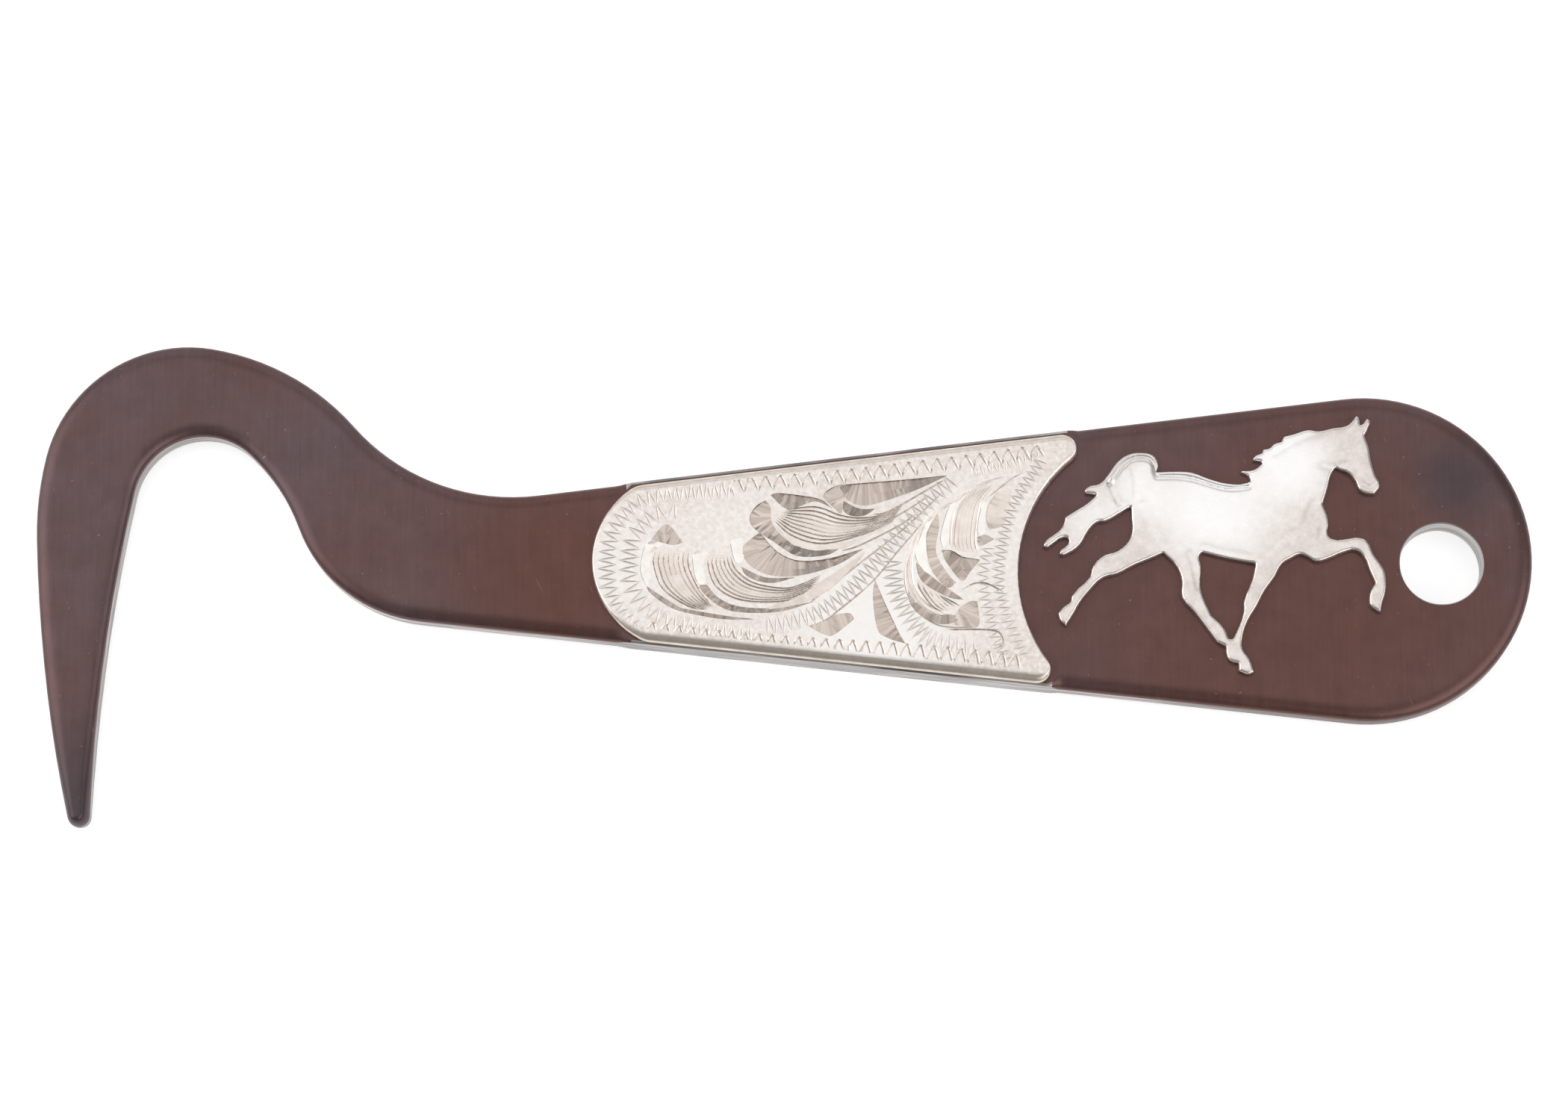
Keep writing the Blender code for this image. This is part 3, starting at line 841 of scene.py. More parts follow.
def deepest(points, cuts):
    """How far the deepest cut takes each point below the face, and the number of that cut."""
    depth = np.zeros(len(points))
    owner = np.full(len(points), -1)
    for number, cut in enumerate(cuts):
        triangles = corners_of(cut)
        for batch in np.array_split(triangles, 1 + len(triangles) // BATCH):
            low = batch[:, :, :2].min(axis=(0, 1)) - SLACK
            high = batch[:, :, :2].max(axis=(0, 1)) + SLACK
            near = np.flatnonzero(np.all((points >= low) & (points <= high), axis=1))
            start, first, second = batch[:, 0], batch[:, 1] - batch[:, 0], batch[:, 2] - batch[:, 0]
            area = first[:, 0] * second[:, 1] - first[:, 1] * second[:, 0]
            real = np.abs(area) > TINY
            if not len(near) or not real.any():
                continue
            start, first, second, area = start[real], first[real], second[real], area[real]
            from_start = points[near][:, None, :] - start[None, :, :2]
            along = (from_start[..., 0] * second[:, 1] - from_start[..., 1] * second[:, 0]) / area
            beside = (from_start[..., 1] * first[:, 0] - from_start[..., 0] * first[:, 1]) / area
            within = (along > -SLACK) & (beside > -SLACK) & (along + beside < 1.0 + SLACK)
            height = start[:, 2] + along * first[:, 2] + beside * second[:, 2]
            lowest = np.where(within, height, 0.0).min(axis=1)
            lower = lowest < depth[near] - SAME_DEPTH
            depth[near[lower]] = lowest[lower]
            owner[near[lower]] = number
    return depth, owner


def engraving(middle, look):
    """All the cuts in the plate's face, moved with its middle."""
    shift = middle - on_overlays([PLATE_MIDDLE])[0]
    chatter = np.random.default_rng(CHATTER_SEED)
    cuts = [bright_cut(shape, chatter) for shape in FACETS.values()]
    for fan in FANS.values():
        cuts += shaded_leaf(fan, look)
    width, depth = look.line_width / MM, look.line_depth / MM
    for line in SINGLE_LINES.values():
        cuts.append(groove(drawn_curve(line), width, depth, LINE_RUN_OUT, DARK))
    for band in BANDS.values():
        cuts += [groove(stroke, band.width, band.depth, STROKE_RUN_OUT, WRIGGLE)
                 for stroke in wriggles(band)]
    return [cut._replace(rows=cut.rows + shift) for cut in cuts]


def stroke_places(corners, triangles, owner, cuts):
    """How far each corner of each triangle lies along its cut, and which cut that is."""
    places = np.zeros((len(triangles), 3, 3))
    for number in np.unique(owner[owner >= 0]):
        own = owner == number
        along = nearest_on(corners[triangles[own]].reshape(-1, 2), cuts[number].rows[1])[1]
        places[own, :, 0] = along.reshape(-1, 3)
        places[own, :, 1] = number * STROKE_APART
    return places.reshape(-1, 3)


def stained(tree, tone, place, colour, stains):
    """Tone that turns to another colour near some stains."""
    for stain in stains:
        spot = (*on_overlays([stain.pixel])[0] * MM, OVERLAY_LEVEL)
        gap = add_node(tree, "ShaderNodeVectorMath", {0: place, 1: spot}, operation="DISTANCE")
        share = add_node(
            tree, "ShaderNodeMapRange",
            {"Value": gap.outputs["Value"], "From Min": STAIN_CORE * stain.reach,
             "From Max": stain.reach, "To Min": stain.most, "To Max": 0.0},
            interpolation_type="SMOOTHSTEP",
        )
        tone = add_node(
            tree, "ShaderNodeMix",
            {SHARE: share.outputs["Result"], FIRST: tone, LAST: opaque(colour)}, data_type="RGBA",
        ).outputs[MIXED]
    return tone


def browned_steel(look):
    """Mild steel, browned and waxed, with upright brushing: a warm dark skin with a soft sheen."""
    material, tree, shader, place = start_material("browned_steel", 0.8, 0.40)
    # Clouds of plum and red-brown about 18 mm across, as the browning took unevenly
    clouds = add_node(
        tree, "ShaderNodeTexNoise",
        {"Vector": place, "Scale": 1.0 / (18.0 * MM), "Detail": 5.0, "Roughness": 0.6},
    )
    spread = add_node(
        tree, "ShaderNodeMapRange",
        {"Value": clouds.outputs["Fac"], "From Min": 0.35, "From Max": 0.7, "To Max": 0.6},
    )
    tone = add_node(
        tree, "ShaderNodeMix",
        {SHARE: spread.outputs["Result"], FIRST: opaque(look.plum), LAST: opaque(look.red_brown)},
        data_type="RGBA",
    ).outputs[MIXED]
    # Heat of the soldering left a redder brown beside the plate and along the handle, and a grey
    # bloom beside the hang hole, and the tip is darker
    tone = stained(tree, tone, place, look.red_brown, RED_STAINS)
    tone = stained(tree, tone, place, look.bloom, BLOOM_AND_DARKER_TIP)
    # Upright brushing is finer than 0.1 mm on steel, and is drawn 0.5 mm apart so that it shows
    lie = add_node(
        tree, "ShaderNodeMapping",
        {"Vector": place, "Scale": (0.5 * MM, 9.0 * MM, 2.0 * MM)}, vector_type="TEXTURE",
    )
    brushing = add_node(
        tree, "ShaderNodeTexNoise",
        {"Vector": lie.outputs["Vector"], "Scale": 1.0, "Detail": 4.0, "Roughness": 0.7},
    )
    # Rubbed patches about 2.5 mm across, lighter and darker
    rubbing = add_node(
        tree, "ShaderNodeTexNoise",
        {"Vector": place, "Scale": 1.0 / (2.5 * MM), "Detail": 4.0, "Roughness": 0.6},
    )
    uneven = add_node(
        tree, "ShaderNodeMath",
        {0: brushing.outputs["Fac"], 1: rubbing.outputs["Fac"]}, operation="ADD",
    )
    streaks = add_node(
        tree, "ShaderNodeMapRange",
        {"Value": uneven.outputs["Value"], "From Min": 0.7, "From Max": 1.3,
         "To Min": 0.88, "To Max": 1.12},
    )
    tone = add_node(
        tree, "ShaderNodeVectorMath", {0: tone, "Scale": streaks.outputs["Result"]},
        operation="SCALE",
    ).outputs["Vector"]
    # Slanted scratches and pinpricks of grit went through the browning, drawn 0.2 mm wide
    slant = add_node(
        tree, "ShaderNodeMapping",
        {"Vector": place, "Rotation": (0.0, 0.0, look.scratch_slant),
         "Scale": (0.2 * MM, 3.0 * MM, 2.0 * MM)},
        vector_type="TEXTURE",
    )
    for vector, scale, least in (
        (slant.outputs["Vector"], 1.0, 0.76), (place, 1.0 / (0.5 * MM), 0.74),
    ):
        marks = add_node(
            tree, "ShaderNodeTexNoise", {"Vector": vector, "Scale": scale, "Detail": 1.0},
        )
        share = add_node(
            tree, "ShaderNodeMapRange",
            {"Value": marks.outputs["Fac"], "From Min": least, "From Max": least + 0.08,
             "To Max": 0.35},
        )
        tone = add_node(
            tree, "ShaderNodeMix",
            {SHARE: share.outputs["Result"], FIRST: tone, LAST: opaque(look.bare)},
            data_type="RGBA",
        ).outputs[MIXED]
    sheen = add_node(
        tree, "ShaderNodeMapRange",
        {"Value": brushing.outputs["Fac"], "To Min": 0.30, "To Max": 0.46},
    )
    bump = add_node(
        tree, "ShaderNodeBump",
        {"Height": brushing.outputs["Fac"], "Strength": 0.12, "Distance": 0.02 * MM},
    )
    tree.links.new(tone, shader.inputs["Base Color"])
    tree.links.new(sheen.outputs["Result"], shader.inputs["Roughness"])
    tree.links.new(bump.outputs["Normal"], shader.inputs["Normal"])
    return material


def ground_steel(name, look, stains):
    """Edge of the steel, ground clean after cutting: pale grey metal with lines along it."""
    material, tree, shader, place = start_material(name, 1.0, 0.38)
    # Grinding lines are about 0.1 mm apart, and are drawn 0.4 mm apart so that they show
    lie = add_node(
        tree, "ShaderNodeMapping",
        {"Vector": place, "Scale": (9.0 * MM, 9.0 * MM, 0.4 * MM)}, vector_type="TEXTURE",
    )
    lines = add_node(
        tree, "ShaderNodeTexNoise", {"Vector": lie.outputs["Vector"], "Scale": 1.0, "Detail": 3.0},
    )
    share = add_node(
        tree, "ShaderNodeMapRange",
        {"Value": lines.outputs["Fac"], "From Min": 0.38, "From Max": 0.62},
    )
    tone = add_node(
        tree, "ShaderNodeMix",
        {SHARE: share.outputs["Result"], FIRST: opaque(look.edge), LAST: opaque(look.edge_shade)},
        data_type="RGBA",
    ).outputs[MIXED]
    tone = stained(tree, tone, place, look.edge_brown, stains)
    bump = add_node(
        tree, "ShaderNodeBump",
        {"Height": lines.outputs["Fac"], "Strength": 0.3, "Distance": 0.02 * MM},
    )
    tree.links.new(tone, shader.inputs["Base Color"])
    tree.links.new(bump.outputs["Normal"], shader.inputs["Normal"])
    return material


def silver(name, tones, roughness, grain, bump_height, streaked=False, lighter_tone=None, stains=()):
    """Nickel silver with two tones and an uneven gloss over its grain, in millimetres.

    A streaked one follows the strokes of the tool, and another may turn lighter in places.
    """
    material, tree, shader, place = start_material(name, 1.0, roughness)
    vector = place
    if streaked:
        vector = add_node(tree, "ShaderNodeAttribute", attribute_name=TOOL_STROKE).outputs["Vector"]
    patches = add_node(
        tree, "ShaderNodeTexNoise",
        {"Vector": vector, "Scale": 1.0 / (grain * MM), "Detail": 5.0, "Roughness": 0.65},
    )
    share = add_node(
        tree, "ShaderNodeMapRange",
        {"Value": patches.outputs["Fac"], "From Min": 0.35, "From Max": 0.68},
    )
    gloss = add_node(
        tree, "ShaderNodeMapRange",
        {"Value": patches.outputs["Fac"], "To Min": roughness - 0.06, "To Max": roughness + 0.06},
    )
    bump = add_node(
        tree, "ShaderNodeBump",
        {"Height": patches.outputs["Fac"], "Strength": 0.5, "Distance": bump_height * MM},
    )
    tone = add_node(
        tree, "ShaderNodeMix",
        {SHARE: share.outputs["Result"], FIRST: opaque(tones[0]), LAST: opaque(tones[1])},
        data_type="RGBA",
    ).outputs[MIXED]
    tone = stained(tree, tone, place, lighter_tone, stains)
    tree.links.new(tone, shader.inputs["Base Color"])
    tree.links.new(gloss.outputs["Result"], shader.inputs["Roughness"])
    tree.links.new(bump.outputs["Normal"], shader.inputs["Normal"])
    return material


def plate_silvers(look):
    """Finishes of the engraved plate, in the order of its material slots."""
    return [
        # Ground left by fine frosting: white with a soft sparkle, lighter in a few places
        silver("frosted_nickel_silver", (look.ground, look.ground_shade), 0.34, 0.5, 0.03,
               lighter_tone=look.ground_bright, stains=LIGHTER_GROUND),
        # Broad cuts of a flat graver: tan, with streaks where the tool chattered, both painted as the
        # shade and reflections of the cut
        silver("bright_cut_nickel_silver", (look.cut, look.cut_shade), 0.24, 0.6, 0.01, True),
        # Steep cuts under the leaves: the same streaks, painted darker as their deeper shade
        silver("deep_cut_nickel_silver", (look.dark, look.dark_shade), 0.28, 0.6, 0.01, True),
        # Crescents facing the lamp: clear white, a painted highlight
        silver("highlight_crescent_nickel_silver", (look.shine, look.shine_shade), 0.20, 2.0, 0.003),
        # Leaves: warm and soft, painted darker as the shade of their fine lines
        silver("shaded_leaf_nickel_silver", (look.leaf, look.leaf_shade), 0.30, 2.2, 0.01),
        # Strokes rocked across with a flat graver: pale, painted a little darker as the shade in their
        # grooves, and bright on one side
        silver("wriggle_cut_nickel_silver", (look.wriggle, look.wriggle_shade), 0.36, 1.0, 0.01),
        # Long sides filed flush with the bar: tan and dull, painted as the shade on their rounding
        silver("shaded_plate_side", (look.side, look.side_shade), 0.34, 1.4, 0.01),
    ]


def floor_paper(look):
    """Matt white paper: pale and even, and it still takes the pick's shadow."""
    material, tree, shader, place = start_material("white_paper", 0.0, 0.9)
    # Paper tooth about 2 mm across
    tooth = add_node(tree, "ShaderNodeTexNoise", {"Vector": place, "Scale": 1.0 / (2.0 * MM)})
    tone = add_node(
        tree, "ShaderNodeMix",
        {SHARE: tooth.outputs["Fac"], FIRST: opaque(look.paper), LAST: opaque(look.paper_shade)},
        data_type="RGBA",
    )
    tree.links.new(tone.outputs[MIXED], shader.inputs["Base Color"])
    shader.inputs["Specular IOR Level"].default_value = 0.0
    path = add_node(tree, "ShaderNodeLightPath")
    seen = path.outputs["Is Camera Ray"]
    for ray in ("Is Glossy Ray", "Is Transmission Ray"):
        seen = add_node(
            tree, "ShaderNodeMath", {0: seen, 1: path.outputs[ray]}, operation="MAXIMUM",
        ).outputs["Value"]
    glow = add_node(
        tree, "ShaderNodeMath", {0: seen, 1: look.paper_glow}, operation="MULTIPLY",
    )
    light = add_node(tree, "ShaderNodeEmission", {"Strength": glow.outputs["Value"]})
    both = add_node(
        tree, "ShaderNodeAddShader", {0: shader.outputs["BSDF"], 1: light.outputs["Emission"]},
    )
    tree.links.new(both.outputs["Shader"], tree.nodes["Material Output"].inputs["Surface"])
    return material


def soft_lamp(name, setting, level):
    """Rectangular soft lamp of an even level, aimed at a point."""
    lamp = bpy.data.lights.new(name, "AREA")
    lamp.shape = "RECTANGLE"
    lamp.size, lamp.size_y = setting.size
    lamp.energy = level * math.pi * lamp.size * lamp.size_y
    holder = bpy.data.objects.new(name, lamp)
    holder.location = setting.place
    holder.rotation_mode = "QUATERNION"
    holder.rotation_quaternion = (Vector(setting.aim) - holder.location).to_track_quat("-Z", "Y")
    bpy.context.scene.collection.objects.link(holder)


def photo_camera(look):
    """Camera that stands where the photograph was taken from."""
    lens = bpy.data.cameras.new("photo_camera")
    lens.sensor_width = SENSOR_MM
    lens.lens = SENSOR_MM * FOCAL_PIXELS / FRAME_WIDTH
    camera = bpy.data.objects.new("photo_camera", lens)
    axes = view_axes(look.tilt, look.turn)
    place = Vector(look.aim) + look.distance * axes.col[2]
    camera.matrix_world = Matrix.Translation(place) @ axes.to_4x4()
    bpy.context.scene.collection.objects.link(camera)
    bpy.context.scene.camera = camera


def paper_floor(look):
    """Wide sheet of paper under the pick."""
    half = FLOOR_SIZE / 2.0
    corners = [(-half, -half), (half, -half), (half, half), (-half, half)]
    mesh = bpy.data.meshes.new("paper_floor")
    mesh.from_pydata([(x, y, FLOOR_LEVEL) for x, y in corners], [], [(0, 1, 2, 3)])
    mesh.materials.append(floor_paper(look))
    floor = bpy.data.objects.new("paper_floor", mesh)
    bpy.context.scene.collection.objects.link(floor)


def engraved_face(border, top, middle, look):
    """Corners, triangles, finishes and tool strokes of the plate's face inside its border."""
    cuts = engraving(middle, look)
    lines = [run for cut in cuts for row in cut.rows for run in runs_inside(row, border)]
    corners, triangles = triangulate([border], lines)
    depth, _ = deepest(corners, cuts)
    depth *= np.clip(nearest_on(corners, border, True)[0] / RIM_FADE, 0.0, 1.0)
    _, owner = deepest(corners[triangles].mean(axis=1), cuts)
    finishes = [GROUND if number < 0 else cuts[number].finish for number in owner]
    strokes = stroke_places(corners, triangles, owner, cuts)
    return np.column_stack((corners, top + depth)), triangles, finishes, strokes


def to_edge(points, loops):
    """Distance of each point from the nearest outline."""
    return np.min([nearest_on(points, loop, True)[0] for loop in loops], axis=0)


def relief_spots(loops, low, high):
    """Points inside the horse: rows that follow its edge, and an even net further in."""
    spots = []
    for inset in EDGE_INSETS:
        rows = np.vstack([row[:, :2] for loop in loops for row in moved_in(loop, [(inset, 0.0)])])
        spots.append(rows[inside(rows, loops) & (to_edge(rows, loops) > ROW_KEEP * inset)])
    across = np.arange(low[0], high[0], RELIEF_STEP)
    upward = np.arange(low[1], high[1], RELIEF_STEP * math.sqrt(0.75))
    net = np.array([
        (x + (row % 2) * RELIEF_STEP / 2.0, y) for row, y in enumerate(upward) for x in across
    ])
    net = net[inside(net, loops)]
    spots.append(net[to_edge(net, loops) > EDGE_INSETS[-1] + RELIEF_STEP / 2.0])
    return np.vstack(spots)


def relief_heights(corners, loops, middle, wall, top, look):
    """Height of the horse's face: a rounded edge, a slow swell, and its folds."""
    edge = to_edge(corners, loops)
    edge[edge < MERGE_MM] = 0.0
    swell = look.swell / MM
    bend = np.clip(1.0 - edge / (look.round_width / MM), 0.0, 1.0)
    rise = np.clip(1.0 - edge / (look.swell_width / MM), 0.0, 1.0)
    height = wall + (top - swell - wall) * np.sqrt(1.0 - bend ** 2) + swell * (1.0 - rise ** 2)
    shift = middle - on_overlays([HORSE_MIDDLE])[0]
    for crease in CREASES.values():
        gap, _ = nearest_on(corners, drawn_curve(crease.path) + shift)
        fade = np.clip(edge / CREASE_FADE, 0.0, 1.0)
        height += crease.rise * fade * np.exp(-(gap / crease.width) ** 2)
    return np.clip(height, wall, top)


def dress(piece, node):
    """Let a piece ride on the pick in place of its CAD node."""
    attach(piece, "root")
    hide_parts(node)


def distance_property(name, description, default):
    """Length setting in metres."""
    return bpy.props.FloatProperty(
        name=name, description=description, default=default, min=0.0, subtype="DISTANCE",
        unit="LENGTH", precision=5,
    )


def level_property(name, description, default):
    """Brightness setting, where 1 is the white of the picture."""
    return bpy.props.FloatProperty(name=name, description=description, default=default, min=0.0)


def angle_property(name, description, degrees):
    """Angle setting, written in degrees."""
    return bpy.props.FloatProperty(
        name=name, description=description, default=math.radians(degrees), subtype="ANGLE",
        unit="ROTATION",
    )


def colour_property(name, description, hex_colour):
    """Colour setting, written as an sRGB hex value."""
    return bpy.props.FloatVectorProperty(
        name=name, description=description, default=linear(hex_colour), min=0.0, max=1.0,
        subtype="COLOR", size=3,
    )


class BarLook(bpy.types.PropertyGroup):
    """Sizes and colours of the steel bar."""

    plum: colour_property("Plum", "Cooler tone of the browned face", "675558")
    red_brown: colour_property("Red-brown", "Warmer tone of the browned face", "68473F")
    bloom: colour_property("Bloom", "Heat stain beside the hang hole, and the darker tip", "50464A")
    bare: colour_property("Bare", "Steel that shows through scratches", "A8988F")
    edge: colour_property("Edge", "Ground edge of the bar", "C4C0BE")
    edge_shade: colour_property("Edge shade", "Darker lines of the ground edge", "807B7A")
    edge_brown: colour_property("Edge brown", "Browned edge round the handle's end", "5A4744")
    rim_width: distance_property("Rim width", "Width of the rounded rim on the face", 0.0018)
    rim_drop: distance_property("Rim drop", "Height of the rounded rim on the wall", 0.0010)
    tip_width: distance_property("Tip width", "Width of the rim at the worn tip", 0.0009)
    tip_drop: distance_property("Tip drop", "Height of the rim at the worn tip", 0.0019)
    hole_rim: distance_property("Hole rim", "Rounding at the mouth of the hang hole", 0.0001)
    scratch_slant: angle_property("Scratch slant", "Lean of the fine scratches", 25.0)


class PlateLook(bpy.types.PropertyGroup):
    """Sizes and colours of the engraved plate."""

    ground: colour_property("Ground", "Frosted face of the plate", "F8EFE9")
    ground_shade: colour_property("Ground shade", "Duller patches of the face", "DED3CB")
    ground_bright: colour_property("Ground bright", "Lighter middle of the face", "FBF8F5")
    # Painted shade: the cut tones are darker than the ground, with painted streaks, for the shade and
    # reflections the cuts show
    cut: colour_property("Cut", "Broad bright cuts", "E4D7CD")
    cut_shade: colour_property("Cut shade", "Tool streaks of the broad cuts", "AFA096")
    dark: colour_property("Dark cut", "Steep cuts under the leaves", "D9CCC2")
    dark_shade: colour_property("Dark cut shade", "Tool streaks of the steep cuts", "A09186")
    # Painted highlight: the shine tones are the white of the lamp that the crescents face
    shine: colour_property("Shine", "Crescents whitened as a painted highlight", "F9F5F0")
    shine_shade: colour_property("Shine shade", "Faint tone of the crescents", "EEE8E2")
    # Painted shade: the leaf tones are darker than the ground for the shade of their fine lines
    leaf: colour_property("Leaf", "Shaded bodies of the leaves", "F4EAE2")
    leaf_shade: colour_property("Leaf shade", "Darker parts of the leaves", "E2D6CC")
    # Painted shade: the wriggle tones are a little darker than the ground for the shade in their
    # grooves
    wriggle: colour_property("Wriggle", "Wriggle cuts of the borders", "F2EAE3")
    wriggle_shade: colour_property("Wriggle shade", "Duller wriggle cuts", "DACFC6")
    # Painted shade: the side tones stand for the tan shade on the plate's long rounded sides
    side: colour_property("Side", "Long sides of the plate, painted as shaded", "E6DACE")
    side_shade: colour_property("Side shade", "File marks of the long sides", "CDC0B3")
    nose_round: distance_property("Nose round", "Rounding of the edge at the nose", 0.0002)
    upper_round: distance_property("Upper round", "Rounding of the upper edge", 0.0008)
    lower_round: distance_property("Lower round", "Rounding of the lower edge", 0.0012)
    bite_round: distance_property("Bite round", "Rounding of the edge at the bite", 0.0002)
    edge_drop: distance_property("Edge drop", "How far the rounded edge falls", 0.0007)
    line_width: distance_property("Line width", "Width of a fine shading line", 0.0002)
    line_depth: distance_property("Line depth", "Depth of a fine shading line", 0.00004)


class HorseLook(bpy.types.PropertyGroup):
    """Sizes and colours of the trotting horse."""

    silver: colour_property("Silver", "Legs, head and tail of the horse", "EAE2DD")
    silver_shade: colour_property("Silver shade", "Dull smudges on the horse", "DACFC9")
    lighter_tone: colour_property("Whiter", "Barrel and neck, where the sheet is whiter", "FCFAF8")
    wall: distance_property("Wall", "Upright edge below the rounding", 0.0003)
    round_width: distance_property("Round width", "How far the edge rounds inwards", 0.0003)
    swell_width: distance_property("Swell width", "How far the body swells inwards", 0.0050)
    swell: distance_property("Swell", "How far the body swells above its flat", 0.00016)


class SolderLook(bpy.types.PropertyGroup):
    """Colours of the solder films."""

    solder: colour_property("Solder", "Silver solder under the overlays", "C9C2B8")
    solder_shade: colour_property("Solder shade", "Dull skin of the solder", "A39A8E")


class StageLook(bpy.types.PropertyGroup):
    """Floor, light and camera."""

    paper: colour_property("Paper", "Floor", "D4D4D4")
    paper_shade: colour_property("Paper shade", "Tooth of the floor", "D0D0D0")
    paper_glow: level_property("Paper glow", "Lift of the floor to white as it is seen", 0.68)
    room: level_property("Room", "Level of the light from all round", 0.27)
    overhead: level_property("Overhead", "Level of the lamp overhead", 0.82)
    left: level_property("Left", "Level of the lamp at the hook's side", 1.6)
    right: level_property("Right", "Level of the lamp at the handle's end", 1.7)
    back: level_property("Back", "Level of the lamp behind the pick", 0.7)
    distance: distance_property("Distance", "From the camera to the pick", VIEW_DISTANCE)
    tilt: angle_property("Tilt", "Lean of the view from straight down, towards the tip", VIEW_TILT)
    turn: angle_property("Turn", "Lean of the view towards the hang hole", VIEW_TURN)
    aim: bpy.props.FloatVectorProperty(
        name="Aim", description="Point in the middle of the view", size=3,
        default=VIEW_AIM, subtype="XYZ", unit="LENGTH",
    )


class HoofPickLooks(bpy.types.PropertyGroup):
    """All the settings of the hoof pick."""

    stage: bpy.props.PointerProperty(name="Stage", description="Floor and light", type=StageLook)
    bar: bpy.props.PointerProperty(name="Bar", description="Steel bar", type=BarLook)
    solder: bpy.props.PointerProperty(name="Solder", description="Solder films", type=SolderLook)
    plate: bpy.props.PointerProperty(name="Plate", description="Engraved plate", type=PlateLook)
    horse: bpy.props.PointerProperty(name="Horse", description="Trotting horse", type=HorseLook)


class HOOF_PICK_OT_stage(bpy.types.Operator):
    """Lay the pale floor, hang the soft lamps and set the camera."""

    bl_idname = "hoof_pick.stage"
    bl_label = "Stage"

    def execute(self, context):
        look = context.scene.hoof_pick.stage
        paper_floor(look)
        world = bpy.data.worlds.new("even_room")
        world.use_nodes = True
        sky = world.node_tree.nodes["Background"]
        sky.inputs["Color"].default_value = (1.0, 1.0, 1.0, 1.0)
        sky.inputs["Strength"].default_value = look.room
        context.scene.world = world
        for name, setting in LAMPS.items():
            soft_lamp(f"{name}_softbox", setting, getattr(look, name))
        photo_camera(look)
        context.scene.view_settings.view_transform = "Standard"
        return {"FINISHED"}


class HOOF_PICK_OT_bar(bpy.types.Operator):
    """Make the browned steel bar with its rounded rims and ground edge."""

    bl_idname = "hoof_pick.bar"
    bl_label = "Steel bar"

    def execute(self, context):
        look = context.scene.hoof_pick.bar
        low, high = (corner.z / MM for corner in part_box("pick_bar"))
        outline = refine(level_loops("pick_bar", BAR_WALL_LEVEL)[0], BAR_STEP)
        hole = refine(level_loops("pick_bar", HOLE_WALL_LEVEL)[0][::-1], HOLE_STEP)
        tip = outline[outline[:, 1].argmin()]
        worn = np.clip(1.0 - np.linalg.norm(outline - tip, axis=1) / TIP_REACH, 0.0, 1.0)
        width = (look.rim_width + (look.tip_width - look.rim_width) * worn) / MM
        drop = (look.rim_drop + (look.tip_drop - look.rim_drop) * worn ** 2) / MM
        plate = level_loops("engraved_plate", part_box("engraved_plate")[0].z)[0]
        beside = np.clip(nearest_on(outline, plate, True)[0] / FILED_REACH - 1.0, FILED_RIM, 1.0)
        shell = Shell()
        bottoms, tops = [], []
        for loop, inset, fall, wall, rim in (
            (outline, width * beside, drop * beside, WALL, np.where(beside > FILED_RIM, FACE, WALL)),
            (hole, look.hole_rim / MM, look.hole_rim / MM, BORE, BORE),
        ):
            upper = rounding(inset, fall, high)
            lower = [(across, low + high - height) for across, height in reversed(upper)]
            rows = moved_in(loop, lower + upper)
            rims = [rim] * (ROUND_STEPS - 1)
            shell.loft(rows, rims + [wall] + rims)
            bottoms.append(rows[0][:, :2])
            tops.append(rows[-1][:, :2])
        flat_cap(shell, bottoms, low, FACE)
        flat_cap(shell, tops, high, FACE)
        bar = shell.build("browned_steel_bar", [
            browned_steel(look),
            # The edge round the handle's end kept its browning, and the bore is bright from the drill
            ground_steel("ground_steel_edge", look, BROWN_EDGES),
            ground_steel("drilled_steel_bore", look, ()),
        ])
        dress(bar, "pick_bar")
        return {"FINISHED"}


class HOOF_PICK_OT_solder(bpy.types.Operator):
    """Give the solder films their dull silver skin."""

    bl_idname = "hoof_pick.solder"
    bl_label = "Solder"

    def execute(self, context):
        look = context.scene.hoof_pick.solder
        # Solder that ran at the joint and was left: grey and matt
        skin = silver("silver_solder", (look.solder, look.solder_shade), 0.5, 0.8, 0.01)
        for node in ("plate_solder", "horse_solder"):
            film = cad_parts[node]
            film.data.materials.clear()
            film.data.materials.append(skin)
        return {"FINISHED"}


class HOOF_PICK_OT_plate(bpy.types.Operator):
    """Make the engraved plate with its bright-cut leaves and wriggle-cut borders."""

    bl_idname = "hoof_pick.plate"
    bl_label = "Engraved plate"

    def execute(self, context):
        look = context.scene.hoof_pick.plate
        low, high = (np.array(corner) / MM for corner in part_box("engraved_plate"))
        outline = refine(level_loops("engraved_plate", low[2] * MM)[0], PLATE_STEP)
        across, upward = left_normals(outline, closed=True).T
        width = np.where(upward > 0.0, look.lower_round, look.upper_round) * upward ** 2
        width += np.where(across > 0.0, look.nose_round, look.bite_round) * across ** 2
        levels = [(0.0, low[2]), *rounding(width / MM, look.edge_drop / MM, high[2])]
        rows = moved_in(outline, levels)
        # The long sides take the side finish, painted shade of their rounding; the top steps keep the
        # ground
        side = np.where(np.abs(upward) > SHADED_SIDE, EDGE, GROUND)
        shell = Shell()
        shell.loft(rows, [side] * (ROUND_STEPS - BRIGHT_STEPS) + [GROUND] * BRIGHT_STEPS)
        flat_cap(shell, [outline], low[2], GROUND)
        border = rows[-1][:, :2]
        face = engraved_face(border, high[2], (low[:2] + high[:2]) / 2.0, look)
        shell.cap(*face[:3], strokes=face[3])
        plate = shell.build("engraved_silver_plate", plate_silvers(look))
        dress(plate, "engraved_plate")
        return {"FINISHED"}


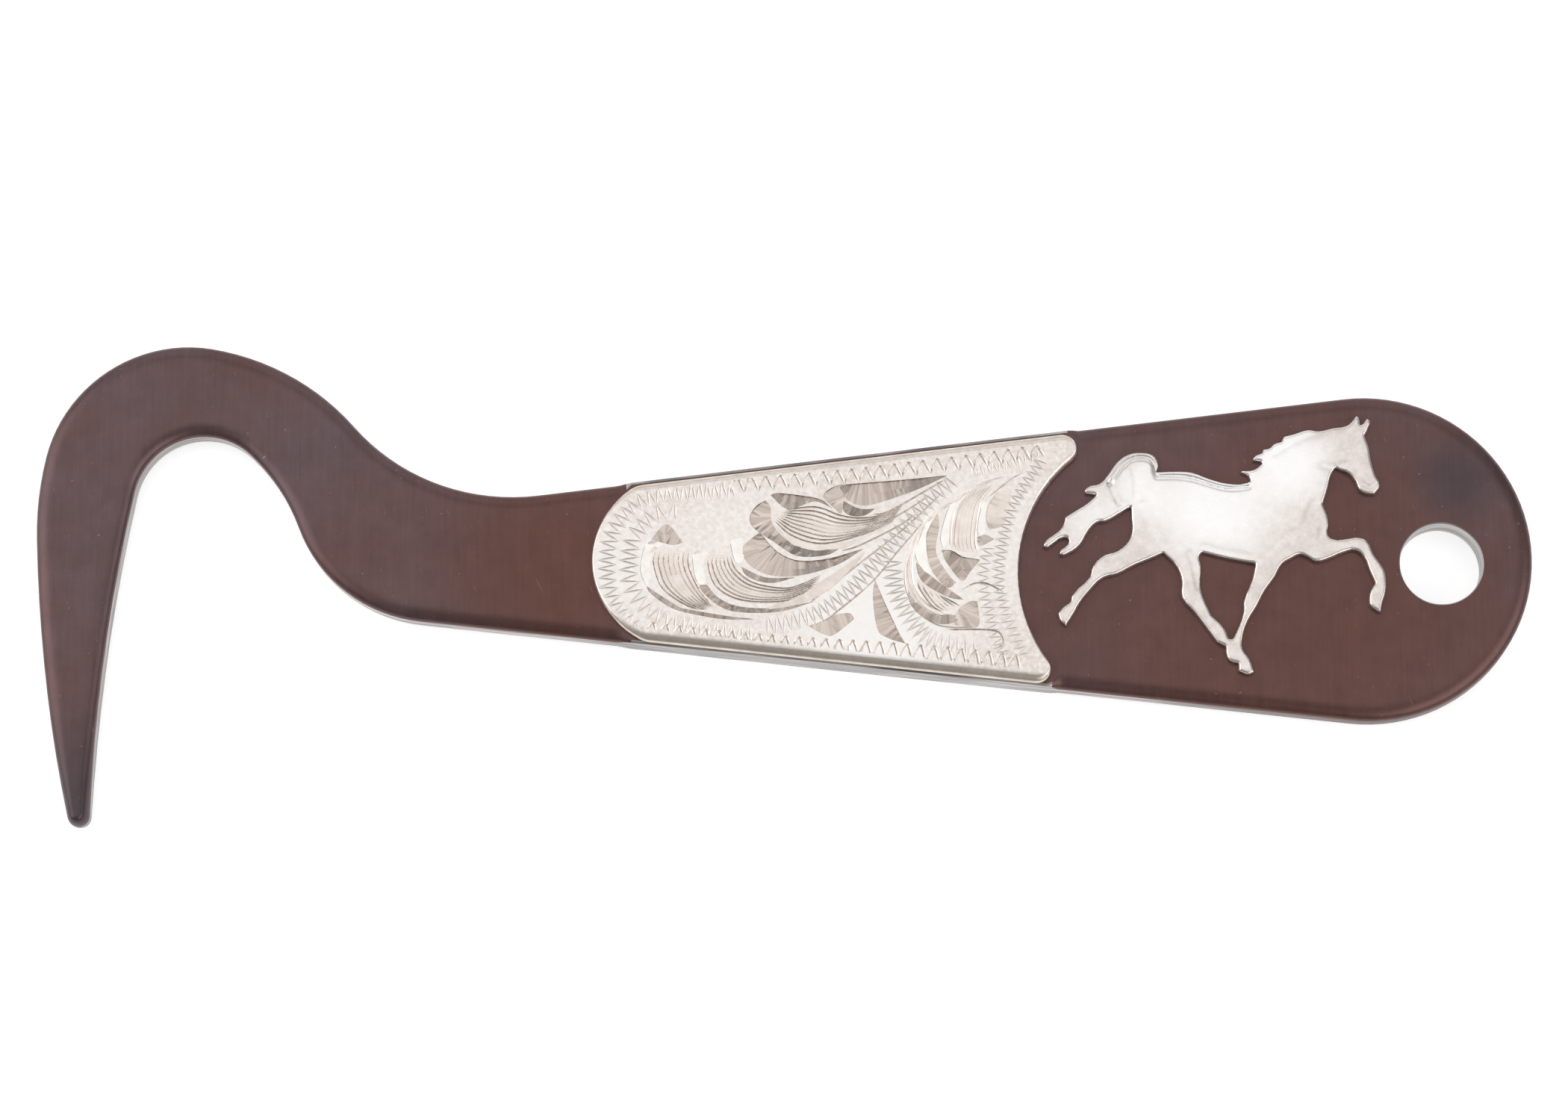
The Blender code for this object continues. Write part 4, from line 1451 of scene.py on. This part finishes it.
class HOOF_PICK_OT_horse(bpy.types.Operator):
    """Make the trotting horse in soft relief."""

    bl_idname = "hoof_pick.horse"
    bl_label = "Trotting horse"

    def execute(self, context):
        look = context.scene.hoof_pick.horse
        low, high = (np.array(corner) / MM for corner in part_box("trotting_horse"))
        loops = [refine(loop, HORSE_STEP) for loop in level_loops("trotting_horse", low[2] * MM)]
        wall = low[2] + look.wall / MM
        shell = Shell()
        for loop in loops:
            shell.loft(moved_in(loop, [(0.0, low[2]), (0.0, wall)]), [SKIN])
        flat_cap(shell, loops, low[2], SKIN)
        corners, triangles = triangulate(loops, (), relief_spots(loops, low, high))
        middle = (low[:2] + high[:2]) / 2.0
        height = relief_heights(corners, loops, middle, wall, high[2], look)
        shell.cap(np.column_stack((corners, height)), triangles, [SKIN] * len(triangles), True)
        # Sheet of clear white on the broad body, pinker and duller on legs, head and tail
        skin = silver("horse_nickel_silver", (look.silver, look.silver_shade), 0.28, 0.9, 0.025,
                      lighter_tone=look.lighter_tone, stains=WHITER_BODY)
        horse = shell.build("silver_trotting_horse", [skin])
        dress(horse, "trotting_horse")
        return {"FINISHED"}


class HOOF_PICK_PT_looks(bpy.types.Panel):
    """Pieces and settings of the hoof pick."""

    bl_label = "Hoof Pick"
    bl_idname = "HOOF_PICK_PT_looks"
    bl_space_type = "VIEW_3D"
    bl_region_type = "UI"
    bl_category = "Hoof Pick"

    def draw(self, context):
        looks = context.scene.hoof_pick
        for operator in OPERATORS:
            self.layout.operator(operator.bl_idname)
            look = getattr(looks, operator.bl_idname.split(".")[1])
            box = self.layout.box()
            for name in look.__annotations__:
                box.prop(look, name)


OPERATORS = (
    HOOF_PICK_OT_stage, HOOF_PICK_OT_bar, HOOF_PICK_OT_solder, HOOF_PICK_OT_plate,
    HOOF_PICK_OT_horse,
)
CLASSES = (
    StageLook, BarLook, SolderLook, PlateLook, HorseLook, HoofPickLooks, *OPERATORS,
    HOOF_PICK_PT_looks,
)


def register():
    """Register the settings, the operators and the panel."""
    for item in CLASSES:
        bpy.utils.register_class(item)
    bpy.types.Scene.hoof_pick = bpy.props.PointerProperty(type=HoofPickLooks)


def unregister():
    """Take the settings, the operators and the panel out again."""
    del bpy.types.Scene.hoof_pick
    for item in reversed(CLASSES):
        bpy.utils.unregister_class(item)


def main():
    """Dress the pick."""
    register()
    bpy.ops.hoof_pick.stage()
    bpy.ops.hoof_pick.bar()
    bpy.ops.hoof_pick.solder()
    bpy.ops.hoof_pick.plate()
    bpy.ops.hoof_pick.horse()


if __name__ == "__main__":
    main()
